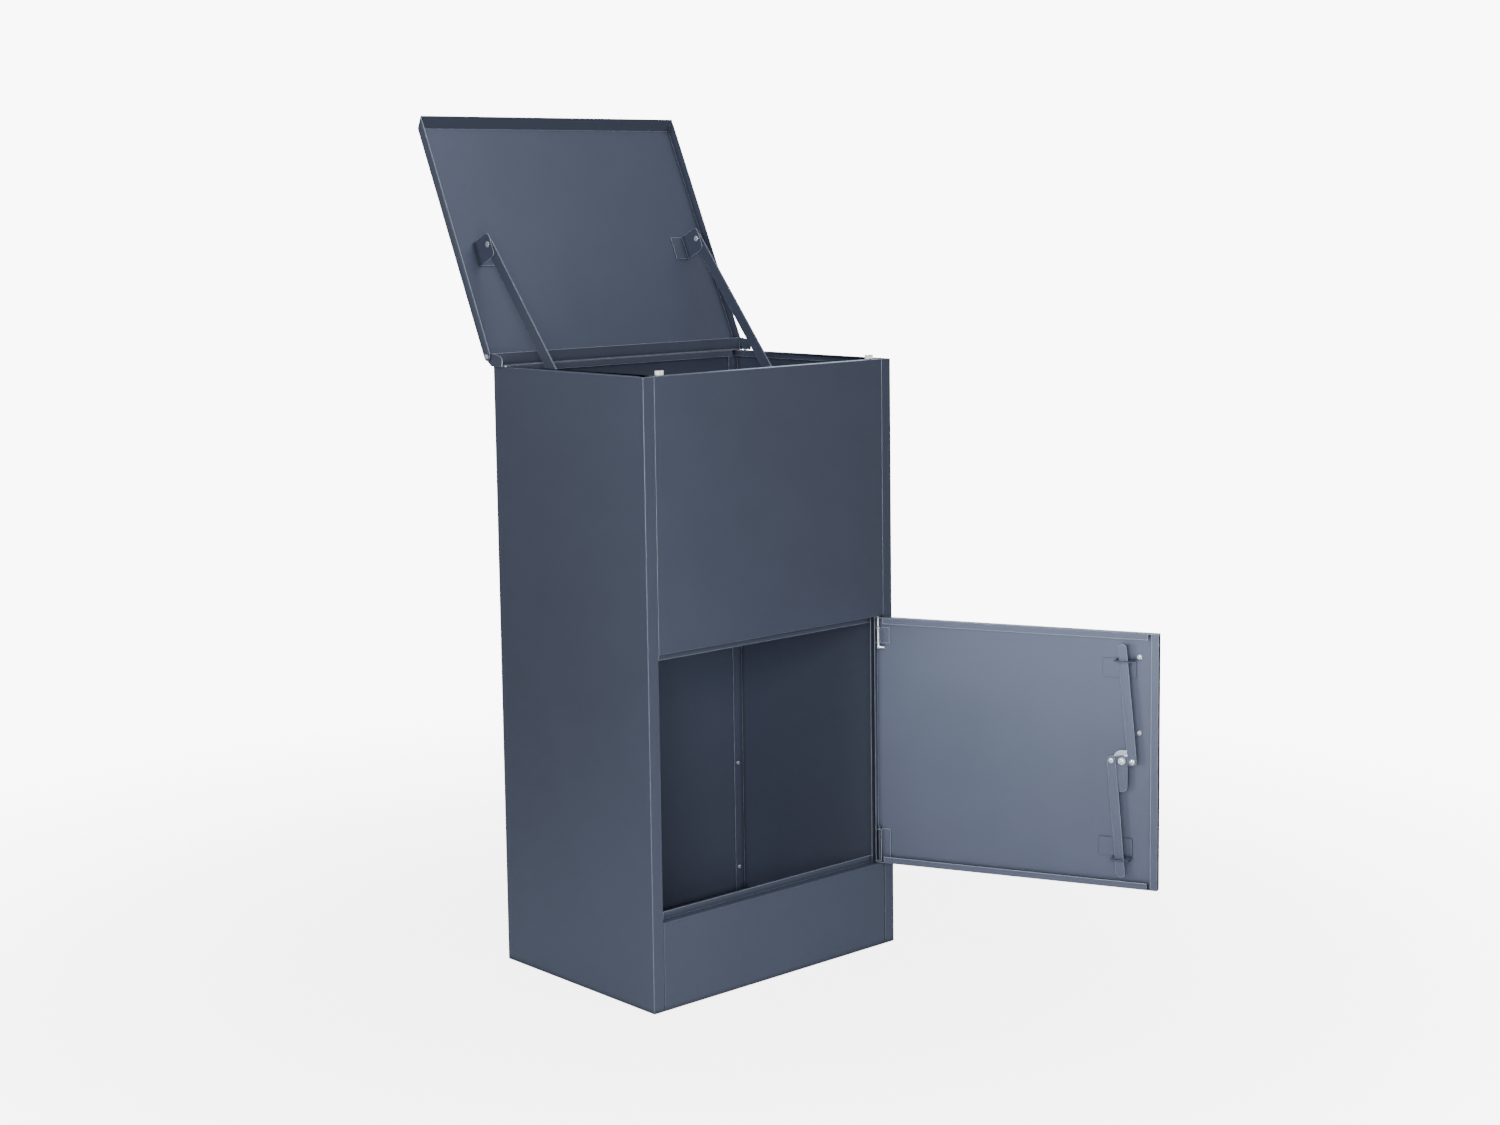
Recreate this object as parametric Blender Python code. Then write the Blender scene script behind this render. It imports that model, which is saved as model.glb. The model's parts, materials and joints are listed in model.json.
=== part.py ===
"""Parcel drop box: sheet-steel cabinet, drop lid with linked inner flap, and a three-point locking door."""
import math

import bmesh
import bpy
from mathutils import Matrix, Vector

# Cabinet: outer sizes, sheet and play between pieces
WIDTH = 0.533
DEPTH = 0.385
HEIGHT = 1.000
SHEET = 0.0012
GAP = 0.0003
HALF_W = WIDTH / 2
HALF_D = DEPTH / 2
FRONT = -HALF_D

# Folded edges of the cabinet
FRONT_FLANGE = 0.0208
REAR_FLANGE = 0.0220
REBATE = 0.0170
JAMB_LIP = 0.0132
RIM_SHELF = 0.0120
RIM_LIP = 0.0105
PANEL_PLAY = 0.0010
PANEL_RETURN = 0.0155

# Door opening
SILL_Z = 0.1425
HEADER_Z = 0.5680
SILL_LIP = 0.0115
HEADER_LIP = 0.0120
FLOOR_Z = 0.0120
ANCHOR_X = 0.190
ANCHOR_Y = 0.130
ANCHOR_R = 0.005
FOOT_HALF_W = 0.030
FOOT_END = 0.015

# Door leaf, given closed: u runs from the hinge edge to the free edge
DOOR_WIDTH = 0.4850
DOOR_HEIGHT = 0.4229
DOOR_Z = 0.1437
DOOR_DEPTH = 0.0120
DOOR_LIP = 0.0108
DOOR_SIDE_LIP = 0.0122
DOOR_LIP_START = 0.0150
DOOR_LIP_END = 0.4670
DOOR_EDGE_X = 0.2425
HINGE_U = 0.0045
HINGE_IN = 0.0047
DOOR_OPEN = math.radians(114.9)
HINGE_X = DOOR_EDGE_X - HINGE_U
HINGE_Y = FRONT + HINGE_IN
HINGE_PIN_R = 0.0020
PIN_RISE = 0.0045
PIN_LEG_DROP = 0.0522
PIN_LEG = 0.0120
BRACKET_U = 0.0240
TOP_BRACKET = (0.3780, 0.4050)
BOTTOM_BRACKET = (0.0020, 0.0578)

# Lock on the door leaf
CAM_U = 0.4280
CAM_Z = 0.2137
CAM_ARM = 0.01725
CAM_TAIL = 0.0517
CAM_WIDTH = 0.0180
CAM_HUB_R = 0.0097
CAM_IN = 0.0190
CAM_THICK = 0.0020
ROD_WIDTH = 0.0148
ROD_THICK = 0.0015
UPPER_ROD = (1, 0.1920, math.radians(5.38))
LOWER_ROD = (-1, 0.1941, math.radians(4.90))
ROD_IN = CAM_IN + CAM_THICK + GAP
CAM_SCREW_R = 0.0062
CAM_SCREW_H = 0.0024
SLOT_REACH = 0.0040
SLOT_HALF = 0.0006
RIVET_R = 0.0025
RIVET_HEAD_R = 0.0044
RIVET_HEAD_H = 0.0012
COLLAR_R = 0.0050
HINGE_HEAD_R = 0.0042
ARM_HEAD_R = 0.0052
GUIDE_TAB_FROM_CAM = 0.1637
GUIDE_TAB = 0.0285
GUIDE_FOOT = 0.0310
GUIDE_SLOT_SHIFT = 0.0027
GUIDE_SLOT_HALF = 0.0111
LOCK_BODY_R = 0.0095
LOCK_FACE_R = 0.0130
LOCK_NUT_R = 0.0145
LOCK_WASHER_R = 0.0165
LOCK_WASHER_IN = 0.0150
LOCK_PLUG_R = 0.0060
GUIDE_LONG = 0.0400
GUIDE_SHORT = 0.0160
GUIDE_TAB_HALF = 0.0165
HANDLE_U = 0.4518
HANDLE_SCREW_R = 0.0020
HANDLE_HEAD_R = 0.0040
HANDLE_HEAD_H = 0.0022
HANDLE_Z = 0.3200
HANDLE_PITCH = 0.1250
HANDLE_BAR_R = 0.0045
HANDLE_STANDOFF = 0.0280

# Lid, given open: l runs up the skin from its rear edge, n from the skin towards the inside
LID_WIDTH = 0.5494
LID_LENGTH = 0.4184
LID_TILT = math.radians(24.72)
LID_FLANGE = 0.0180
LIP_UP = 0.0150
LIP_IN = 0.0180
LID_Y = 0.2067
LID_Z = 1.0113
LID_PIVOT_L = 0.00126
LID_PIVOT_N = 0.00851
LID_LOBE_R = 0.0075
RAIL_HEIGHT = 0.0212
RAIL_REAR = 0.1912
RAIL_HALF_W = 0.2722
EAR_FRONT = 0.1610
EAR_REAR = 0.2045
EAR_HEEL = 0.0100
EAR_CHAMFER = 0.0030
EAR_FLAT = 0.0090
EAR_NOSE = 0.0050
EAR_DROP = 0.0035
BUMPER_TOP = 0.0075

# Lid arms, inner flap and its shaft
BRACKET_L = 0.1880
BRACKET_N = 0.0380
BRACKET_REAR = 0.0240
BRACKET_FRONT = 0.0190
BRACKET_TIP = 0.0090
BRACKET_FOOT = 0.0270
BRACKET_CORNER = 0.0080
BRACKET_CORNER_MIDDLE = 0.0025
ARM_REACH = 0.2960
ARM_DIRECTION = math.radians(-129.2)
ARM_WIDTH = 0.0210
ARM_THICK = 0.0025
ARM_PLANES = {"left": -0.2286, "right": 0.2266}
PIVOT_R = 0.0030
FLAP_FRONT = -0.1700
FLAP_TONGUE = -0.1800
FLAP_HALF_W = 0.2590
TONGUE_HALF_W = 0.2260
FLAP_RISE = 0.0063
FLAP_HEM = 0.0100
SHAFT_R = 0.0050
CHUTE_TOP_Z = 0.9000
CHUTE_HALF_W = 0.2622
SCREW_HEIGHTS = (0.054, 0.248, 0.500, 0.752, 0.946)
SCREW_INSET = 0.0143
SCREW_R = 0.0018
SCREW_HEAD_R = 0.0034

ROUND_SIDES = 24
SMALL_SIDES = 16

POWDER = (0.072, 0.084, 0.105)
ZINC = (0.62, 0.63, 0.65)
RUBBER = (0.70, 0.70, 0.69)
PLUG = (0.55, 0.53, 0.48)


def lid_point(l_along, n_in):
    """Height and depth of a point given in the open lid's own directions."""
    y = LID_Y + math.sin(LID_TILT) * l_along - math.cos(LID_TILT) * n_in
    z = LID_Z + math.cos(LID_TILT) * l_along + math.sin(LID_TILT) * n_in
    return y, z


LID_PIVOT = lid_point(LID_PIVOT_L, LID_PIVOT_N)
ARM_TOP = lid_point(BRACKET_L, BRACKET_N)
ARM_VECTOR = (ARM_REACH * math.cos(ARM_DIRECTION), ARM_REACH * math.sin(ARM_DIRECTION))
ARM_FOOT = (ARM_TOP[0] + ARM_VECTOR[0], ARM_TOP[1] + ARM_VECTOR[1])
FLAP_PIVOT = (LID_PIVOT[0] + ARM_VECTOR[0], LID_PIVOT[1] + ARM_VECTOR[1])


def clear_scene():
    for item in list(bpy.data.objects):
        bpy.data.objects.remove(item, do_unlink=True)


def material(name, colour, roughness, metallic):
    result = bpy.data.materials.new(name)
    result.use_nodes = True
    shader = result.node_tree.nodes["Principled BSDF"]
    shader.inputs["Base Color"].default_value = (*colour, 1.0)
    shader.inputs["Roughness"].default_value = roughness
    shader.inputs["Metallic"].default_value = metallic
    return result


FINISHES = {
    "powder": (POWDER, 0.45, 0.0),
    "zinc": (ZINC, 0.30, 1.0),
    "rubber": (RUBBER, 0.60, 0.0),
    "plug": (PLUG, 0.35, 1.0),
}


def mesh_from(bm):
    """Turn a bmesh into a mesh whose faces look outward."""
    bmesh.ops.recalc_face_normals(bm, faces=bm.faces)
    mesh = bpy.data.meshes.new("solid")
    bm.to_mesh(mesh)
    bm.free()
    return mesh


def prism(outline, axis, low, high):
    """Solid with a flat outline, drawn in the two axes after `axis`, between two planes across it."""
    bm = bmesh.new()
    order = {"x": (0, 1, 2), "y": (1, 2, 0), "z": (2, 0, 1)}[axis]
    rings = []
    for level in (low, high):
        ring = []
        for first, second in outline:
            point = [0.0, 0.0, 0.0]
            point[order[0]] = level
            point[order[1]] = first
            point[order[2]] = second
            ring.append(bm.verts.new(point))
        rings.append(ring)
    bm.faces.new(rings[0])
    bm.faces.new(reversed(rings[1]))
    count = len(outline)
    for index in range(count):
        after = (index + 1) % count
        bm.faces.new((rings[0][index], rings[1][index], rings[1][after], rings[0][after]))
    return mesh_from(bm)


def block(low, high):
    """Box between two corners."""
    outline = [(low[0], low[1]), (high[0], low[1]), (high[0], high[1]), (low[0], high[1])]
    return prism(outline, "z", low[2], high[2])


def circle(centre, radius, sides=ROUND_SIDES):
    step = 2 * math.pi / sides
    return [(centre[0] + radius * math.cos(i * step), centre[1] + radius * math.sin(i * step))
            for i in range(sides)]


def capsule(start, end, start_r, end_r, sides=8):
    """Outline of a bar with round ends, wider at one end if the radii differ."""
    angle = math.atan2(end[1] - start[1], end[0] - start[0])
    points = []
    for centre, radius, turn in ((end, end_r, -math.pi / 2), (start, start_r, math.pi / 2)):
        for i in range(sides + 1):
            at = angle + turn + math.pi * i / sides
            points.append((centre[0] + radius * math.cos(at), centre[1] + radius * math.sin(at)))
    return points


def folded(path, thickness=SHEET):
    """Outline of a folded sheet: a path of outer-face points, with the sheet on its left side."""
    inner = []
    last = len(path) - 1
    for index, point in enumerate(path):
        normals = []
        for start, end in ((index - 1, index), (index, index + 1)):
            if start < 0 or end > last:
                continue
            run = Vector(path[end]) - Vector(path[start])
            normals.append(Vector((-run.y, run.x)).normalized())
        total = normals[0] if len(normals) == 1 else normals[0] + normals[1]
        offset = total * (thickness / total.dot(normals[0]))
        inner.append((point[0] + offset.x, point[1] + offset.y))
    return list(path) + inner[::-1]


def combine(base, others, operation="UNION"):
    """Join meshes to, or cut them from, a base mesh with exact Booleans."""
    holder = bpy.data.objects.new("holder", base)
    bpy.context.scene.collection.objects.link(holder)
    tools = []
    for mesh in others:
        tool = bpy.data.objects.new("tool", mesh)
        bpy.context.scene.collection.objects.link(tool)
        tools.append(tool)
        boolean = holder.modifiers.new("join", "BOOLEAN")
        boolean.operation = operation
        boolean.solver = "EXACT"
        boolean.object = tool
    graph = bpy.context.evaluated_depsgraph_get()
    result = bpy.data.meshes.new_from_object(holder.evaluated_get(graph))
    for item in [holder, *tools]:
        bpy.data.objects.remove(item, do_unlink=True)
    return result


def union(*meshes):
    return combine(meshes[0], meshes[1:])


def cut(base, *tools):
    return combine(base, tools, "DIFFERENCE")


def add(name, mesh, finish, parent=None, matrix=None, origin=None):
    """Place one finished sub-part, with its origin moved onto its joint where it has one."""
    colour, roughness, metallic = FINISHES[finish]
    if matrix is not None:
        mesh.transform(matrix)
    if origin is not None:
        mesh.transform(Matrix.Translation(-Vector(origin)))
    mesh.materials.clear()
    mesh.materials.append(material(name, colour, roughness, metallic))
    mesh.shade_smooth()
    mesh.set_sharp_from_angle(angle=math.radians(35))
    mesh.name = name
    item = bpy.data.objects.new(name, mesh)
    bpy.context.scene.collection.objects.link(item)
    if origin is not None:
        item.location = origin
    if parent is not None:
        item.parent = parent
        item.matrix_parent_inverse = parent.matrix_world.inverted()
    return item


def mirror_x(mesh):
    mesh.transform(Matrix.Scale(-1, 4, (1, 0, 0)))
    mesh.flip_normals()
    return mesh


# ---------------------------------------------------------------- cabinet

def side_panel():
    """Left side: a folded channel with front flange, door rebate, rear flange and top rim."""
    rear = HALF_D - SHEET - GAP
    flange = -HALF_W + FRONT_FLANGE
    path = [(-HALF_W + REAR_FLANGE, rear), (-HALF_W, rear), (-HALF_W, FRONT), (flange, FRONT),
            (flange, FRONT + REBATE), (flange + JAMB_LIP, FRONT + REBATE)]
    wall = prism(folded(path), "z", 0.0, HEIGHT)
    shelf = block((-HALF_W + SHEET / 2, FRONT + REBATE + SHEET + GAP, HEIGHT - SHEET),
                  (-HALF_W + RIM_SHELF, rear - SHEET / 2, HEIGHT))
    lip = block((-HALF_W + RIM_SHELF - SHEET, FRONT + REBATE + SHEET + GAP, HEIGHT - RIM_LIP),
                (-HALF_W + RIM_SHELF, rear - SHEET / 2, HEIGHT - SHEET / 2))
    return cut(union(wall, shelf, lip), *screw_holes(-1))


def screw_holes(side):
    """Cutters for the corner screws of one rear corner."""
    x = side * (HALF_W - SCREW_INSET)
    return [prism(circle((height, x), SCREW_R + GAP, SMALL_SIDES), "y", HALF_D - 4 * SHEET, HALF_D + SHEET)
            for height in SCREW_HEIGHTS]


def back_panel():
    """Back: a full-width plate, folded in and down along its top between the sides."""
    plate = block((-HALF_W, HALF_D - SHEET, 0.0), (HALF_W, HALF_D, HEIGHT))
    half = HALF_W - REAR_FLANGE - GAP
    shelf_y = HALF_D - RIM_SHELF
    shelf = block((-half, shelf_y, HEIGHT - SHEET), (half, HALF_D - SHEET / 2, HEIGHT))
    lip = block((-half, shelf_y, HEIGHT - RIM_LIP), (half, shelf_y + SHEET, HEIGHT - SHEET / 2))
    return cut(union(plate, shelf, lip), *screw_holes(-1), *screw_holes(1))


def front_width():
    """Half width of a panel that sits between the two front flanges."""
    return HALF_W - FRONT_FLANGE - PANEL_PLAY


def upper_front_panel():
    """Fixed front over the door: a pan with a header lip that the locking rod catches behind."""
    half = front_width()
    lip_half = HALF_W - FRONT_FLANGE - JAMB_LIP - PANEL_PLAY
    plate = block((-half, FRONT, HEADER_Z), (half, FRONT + SHEET, HEIGHT))
    sides = [block((x, FRONT + SHEET / 2, HEADER_Z), (x + SHEET, FRONT + PANEL_RETURN, HEIGHT))
             for x in (-half, half - SHEET)]
    top = block((-half + SHEET / 2, FRONT + SHEET / 2, HEIGHT - SHEET),
                (half - SHEET / 2, FRONT + PANEL_RETURN, HEIGHT))
    top_lip = block((-half + SHEET / 2, FRONT + PANEL_RETURN - SHEET, HEIGHT - RIM_LIP),
                    (half - SHEET / 2, FRONT + PANEL_RETURN, HEIGHT - SHEET / 2))
    header = block((-half, FRONT, HEADER_Z), (half, FRONT + PANEL_RETURN, HEADER_Z + SHEET))
    neck = block((-lip_half, FRONT + PANEL_RETURN - SHEET, HEADER_Z),
                 (lip_half, FRONT + REBATE + SHEET, HEADER_Z + SHEET))
    lip = block((-lip_half, FRONT + REBATE, HEADER_Z - HEADER_LIP),
                (lip_half, FRONT + REBATE + SHEET, HEADER_Z + SHEET / 2))
    pin_hole = prism(circle((HINGE_X, HINGE_Y), HINGE_PIN_R + GAP, SMALL_SIDES), "z",
                     HEADER_Z - SHEET, HEADER_Z + 2 * SHEET)
    return cut(union(plate, *sides, top, top_lip, header, neck, lip), pin_hole)


def kick_panel():
    """Fixed front under the door, with a sill shelf and an upstanding sill lip."""
    half = front_width()
    lip_half = HALF_W - FRONT_FLANGE - JAMB_LIP - PANEL_PLAY
    plate = block((-half, FRONT, 0.0), (half, FRONT + SHEET, SILL_Z))
    sides = [block((x, FRONT + SHEET / 2, 0.0), (x + SHEET, FRONT + PANEL_RETURN, SILL_Z))
             for x in (-half, half - SHEET)]
    shelf = block((-half, FRONT, SILL_Z - SHEET), (half, FRONT + PANEL_RETURN, SILL_Z))
    neck = block((-lip_half, FRONT + PANEL_RETURN - SHEET, SILL_Z - SHEET),
                 (lip_half, FRONT + REBATE + SHEET, SILL_Z))
    lip = block((-lip_half, FRONT + REBATE, SILL_Z - SHEET / 2),
                (lip_half, FRONT + REBATE + SHEET, SILL_Z + SILL_LIP))
    pin_hole = prism(circle((HINGE_X, HINGE_Y), HINGE_PIN_R + GAP, SMALL_SIDES), "z",
                     SILL_Z - 2 * SHEET, SILL_Z + SHEET)
    return cut(union(plate, *sides, shelf, neck, lip), pin_hole)


def floor_panel():
    """Raised floor with folded-down edges, a foot channel along its middle and four anchor holes."""
    half_x = HALF_W - SHEET - GAP
    low_y = FRONT + REBATE + SHEET + GAP
    high_y = HALF_D - 2 * SHEET - 2 * GAP
    plate = block((-half_x, low_y, FLOOR_Z - SHEET), (half_x, high_y, FLOOR_Z))
    edges = [block((-half_x, y, 0.0), (half_x, y + SHEET, FLOOR_Z - SHEET / 2))
             for y in (low_y, high_y - SHEET)]
    edges += [block((x, low_y + SHEET / 2, 0.0), (x + SHEET, high_y - SHEET / 2, FLOOR_Z - SHEET / 2))
              for x in (-half_x, half_x - SHEET)]
    holes = [prism(circle((x, y), ANCHOR_R), "z", FLOOR_Z - 3 * SHEET, FLOOR_Z + SHEET)
             for x in (-ANCHOR_X, ANCHOR_X) for y in (-ANCHOR_Y, ANCHOR_Y)]
    foot = [(-FOOT_HALF_W, FLOOR_Z - SHEET / 2), (-FOOT_HALF_W, 0.0), (FOOT_HALF_W, 0.0),
            (FOOT_HALF_W, FLOOR_Z - SHEET / 2)]
    channel = prism([(y, x) for x, y in folded(foot)], "y", low_y + FOOT_END, high_y - FOOT_END)
    return cut(union(plate, *edges, channel), *holes)


def hinge_rail():
    """Upright rail on the rear rim, with an ear at each end that carries the lid."""
    low = HEIGHT + GAP
    high = HEIGHT + RAIL_HEIGHT
    wall = block((-RAIL_HALF_W, RAIL_REAR - SHEET, low), (RAIL_HALF_W, RAIL_REAR, high))
    shape = [(RAIL_REAR, low), (EAR_REAR, low + EAR_HEEL), (EAR_REAR, high - EAR_CHAMFER),
             (EAR_REAR - EAR_CHAMFER, high), (RAIL_REAR - EAR_FLAT, high),
             (EAR_FRONT + EAR_NOSE, high - EAR_DROP), (EAR_FRONT, high - EAR_DROP - EAR_NOSE),
             (EAR_FRONT, low)]
    ears = [prism(shape, "x", x, x + SHEET) for x in (-RAIL_HALF_W, RAIL_HALF_W - SHEET)]
    half = HALF_W - SHEET
    foot = block((-half, HALF_D - RIM_SHELF, low), (half, RAIL_REAR - SHEET / 2, low + SHEET))
    reach = RAIL_HALF_W + SHEET
    hole = prism(circle(LID_PIVOT, PIVOT_R + GAP, SMALL_SIDES), "x", -reach, reach)
    return cut(union(wall, *ears, foot), hole)


def corner_screw(side, height):
    """Pan-head screw through a side's rear flange and the back panel."""
    centre = (height, side * (HALF_W - SCREW_INSET))
    face = HALF_D - 2 * SHEET - 2 * GAP
    head = button(centre, SCREW_HEAD_R, face - 0.0020, face)
    shank = prism(circle(centre, SCREW_R, SMALL_SIDES), "y", face - 0.0005, HALF_D - GAP)
    return union(head, shank)


def button(centre, radius, low, high):
    """Round screw head across the cabinet's depth, rounded towards the front."""
    disc = prism(circle(centre, radius, SMALL_SIDES), "y", low, high)
    bm = bmesh.new()
    bm.from_mesh(disc)
    rim = [edge for edge in bm.edges if all(abs(vert.co.y - low) < GAP / 10 for vert in edge.verts)]
    bmesh.ops.bevel(bm, geom=rim, offset=0.0009, segments=2, profile=0.5, affect="EDGES")
    return mesh_from(bm)


def bumper(side):
    """Two-lobed soft stop on the front panel's top edge, for the closed lid."""
    x = side * 0.2260
    y = FRONT + PANEL_RETURN / 2 + 0.0020
    lobes = [prism(circle((x + shift, y), 0.0048, SMALL_SIDES), "z", HEIGHT + GAP, HEIGHT + BUMPER_TOP)
             for shift in (-0.0028, 0.0028)]
    return union(*lobes)


# ---------------------------------------------------------------- lid, arms and inner flap

def lid_sheet(outline_ln, low_x, high_x):
    """Prism across the width, drawn in the open lid's own directions."""
    return prism([lid_point(*point) for point in outline_ln], "x", low_x, high_x)


def lid_pan():
    """Lid skin with side flanges and a sloped front lip."""
    half = LID_WIDTH / 2
    skin = lid_sheet(folded([(0.0, 0.0), (LID_LENGTH, 0.0), (LID_LENGTH + LIP_UP, LIP_IN)]), -half, half)
    side = [(0.0, SHEET / 2), (LID_LENGTH, SHEET / 2), (LID_LENGTH + LIP_UP - SHEET, LIP_IN - SHEET / 2),
            (LID_LENGTH, LID_FLANGE), (0.0, LID_FLANGE)]
    flanges = []
    for x in (-half, half - SHEET):
        flanges.append(lid_sheet(side, x, x + SHEET))
        flanges.append(prism(circle(LID_PIVOT, LID_LOBE_R), "x", x, x + SHEET))
    hole = prism(circle(LID_PIVOT, PIVOT_R + GAP, SMALL_SIDES), "x", -half - SHEET, half + SHEET)
    return cut(union(skin, *flanges), hole)


def lid_bracket(side):
    """Angle bracket under the lid that holds the top of one arm."""
    plate_x = bracket_plane(side)
    low_l = BRACKET_L - BRACKET_REAR
    high_l = BRACKET_L + BRACKET_FRONT
    base = SHEET + GAP
    tip = BRACKET_N + BRACKET_TIP
    root = base + SHEET / 2
    large = BRACKET_CORNER
    small = BRACKET_CORNER_MIDDLE
    upright = [(low_l, root), (high_l, root), (high_l, tip - large), (high_l - small, tip - small),
               (high_l - large, tip), (low_l + large, tip), (low_l + small, tip - small),
               (low_l, tip - large)]
    fold = plate_x + SHEET / 2
    foot_low = fold
    foot_high = fold + BRACKET_FOOT
    if side == "right":
        foot_low = fold - BRACKET_FOOT
        foot_high = fold
    first = low_l + GAP
    last = high_l - GAP
    foot = [(first, base), (last, base), (last, base + SHEET), (first, base + SHEET)]
    body = union(lid_sheet(upright, plate_x, plate_x + SHEET), lid_sheet(foot, foot_low, foot_high))
    hole = prism(circle(ARM_TOP, PIVOT_R + GAP, SMALL_SIDES), "x", plate_x - SHEET, plate_x + 2 * SHEET)
    return cut(body, hole)


def bracket_plane(side):
    """Low x of the bracket plate, which is also the plane of the flap's ear."""
    return ARM_PLANES[side] - GAP - SHEET


def lid_arm(side):
    """Flat bar between a lid bracket and the inner flap."""
    low = ARM_PLANES[side]
    bar = prism(capsule(ARM_FOOT, ARM_TOP, ARM_WIDTH / 2, ARM_WIDTH / 2), "x", low, low + ARM_THICK)
    top_hole = prism(circle(ARM_TOP, PIVOT_R + GAP, SMALL_SIDES), "x", low - SHEET, low + 2 * ARM_THICK)
    foot_hole = prism(circle(ARM_FOOT, PIVOT_R + 4 * GAP, SMALL_SIDES), "x", low - SHEET, low + 2 * ARM_THICK)
    return cut(bar, top_hole, foot_hole)


def arm_rivet(side, centre):
    """Rivet through a thin plate and an arm, with a head on each side."""
    low = bracket_plane(side)
    high = ARM_PLANES[side] + ARM_THICK
    shank = prism(circle(centre, PIVOT_R, SMALL_SIDES), "x", low - 2 * GAP, high + 2 * GAP)
    heads = [prism(circle(centre, ARM_HEAD_R, SMALL_SIDES), "x", start, start + RIVET_HEAD_H)
             for start in (low - GAP - RIVET_HEAD_H, high + GAP)]
    return union(shank, *heads)


def hinge_rivet(side):
    """Rivet that hangs one lid flange on its ear."""
    outer = LID_WIDTH / 2 + GAP
    inner = RAIL_HALF_W - SHEET - GAP
    shank = prism(circle(LID_PIVOT, PIVOT_R, SMALL_SIDES), "x", inner - GAP, outer + GAP)
    flange = LID_WIDTH / 2 - SHEET
    collar = prism(circle(LID_PIVOT, COLLAR_R, SMALL_SIDES), "x", RAIL_HALF_W + GAP, flange - GAP)
    heads = [prism(circle(LID_PIVOT, HINGE_HEAD_R, SMALL_SIDES), "x", *span)
             for span in ((inner - RIVET_HEAD_H, inner), (outer, outer + RIVET_HEAD_H))]
    rivet = union(shank, collar, *heads)
    return mirror_x(rivet) if side == "left" else rivet


def flap_ear(side):
    """Upright cheek of the flap, reaching from the shaft to the foot of an arm."""
    low = bracket_plane(side)
    y, z = FLAP_PIVOT
    lever = prism(capsule(FLAP_PIVOT, ARM_FOOT, 0.0120, 0.0105), "x", low, low + SHEET)
    deck = z + FLAP_RISE + SHEET / 2
    gusset = prism([(y - 0.005, deck), (y + 0.020, z + 0.080), (y + 0.010, z + 0.100), (y - 0.085, deck)],
                   "x", low, low + SHEET)
    return union(lever, gusset)


def drop_flap():
    """Inner flap: a deck in front of the shaft with a stiffened edge and two ears."""
    y, z = FLAP_PIVOT
    low = z + FLAP_RISE
    wide = block((-FLAP_HALF_W, FLAP_FRONT, low), (FLAP_HALF_W, y + 0.012, low + SHEET))
    tongue = block((-TONGUE_HALF_W, FLAP_TONGUE, low), (TONGUE_HALF_W, FLAP_FRONT + SHEET, low + SHEET))
    hem = block((-TONGUE_HALF_W, FLAP_TONGUE, low - FLAP_HEM),
                (TONGUE_HALF_W, FLAP_TONGUE + SHEET, low + SHEET / 2))
    body = union(wide, tongue, hem, flap_ear("left"), flap_ear("right"))
    holes = []
    for side in ("left", "right"):
        at = bracket_plane(side)
        holes.append(prism(circle(FLAP_PIVOT, SHAFT_R + GAP), "x", at - SHEET, at + 2 * SHEET))
        holes.append(prism(circle(ARM_FOOT, PIVOT_R + GAP, SMALL_SIDES), "x", at - SHEET, at + 2 * SHEET))
    return cut(body, *holes)


def flap_shaft():
    """Round bar across the cabinet that the flap swings on."""
    reach = HALF_W - SHEET - 4 * GAP
    return prism(circle(FLAP_PIVOT, SHAFT_R), "x", -reach, reach)


def chute():
    """Fixed sloping plate behind the flap, whose end cheeks hold the shaft."""
    y, z = FLAP_PIVOT
    rear = HALF_D - 2 * SHEET - 2 * GAP
    nose = Vector((y + 0.022, z + 0.010))
    top = Vector((rear, CHUTE_TOP_Z))
    plate = prism(folded([nose, top, (rear, CHUTE_TOP_Z + 0.020)]), "x", -CHUTE_HALF_W, CHUTE_HALF_W)
    along = (top - nose).normalized()
    inside = Vector((-along.y, along.x)) * SHEET / 2
    cheek = [(y - 0.010, z - 0.010), (y + 0.012, z - 0.012), (rear - SHEET / 2, CHUTE_TOP_Z - 0.030),
             (rear - SHEET / 2, CHUTE_TOP_Z), tuple(nose + inside), (y - 0.004, z + 0.010),
             (y - 0.010, z + 0.004)]
    cheeks = [prism(cheek, "x", x, x + SHEET) for x in (-CHUTE_HALF_W, CHUTE_HALF_W - SHEET)]
    hole = prism(circle(FLAP_PIVOT, SHAFT_R + GAP), "x", -HALF_W, HALF_W)
    return cut(union(plate, *cheeks), hole)


# ---------------------------------------------------------------- door, hinges and lock

def door_block(low, high):
    """Box in the door's own directions: u from the hinge edge, depth inward, height from its foot."""
    return block((DOOR_EDGE_X - high[0], FRONT + low[1], DOOR_Z + low[2]),
                 (DOOR_EDGE_X - low[0], FRONT + high[1], DOOR_Z + high[2]))


def door_disc(u, height, radius, low, high, sides=ROUND_SIDES):
    """Disc across the door's thickness."""
    return prism(circle((DOOR_Z + height, DOOR_EDGE_X - u), radius, sides), "y", FRONT + low, FRONT + high)


def door_outline(points, low, high):
    """Prism across the door's thickness from an outline in u and height."""
    return prism([(DOOR_Z + height, DOOR_EDGE_X - u) for u, height in points], "y", FRONT + low, FRONT + high)


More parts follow.
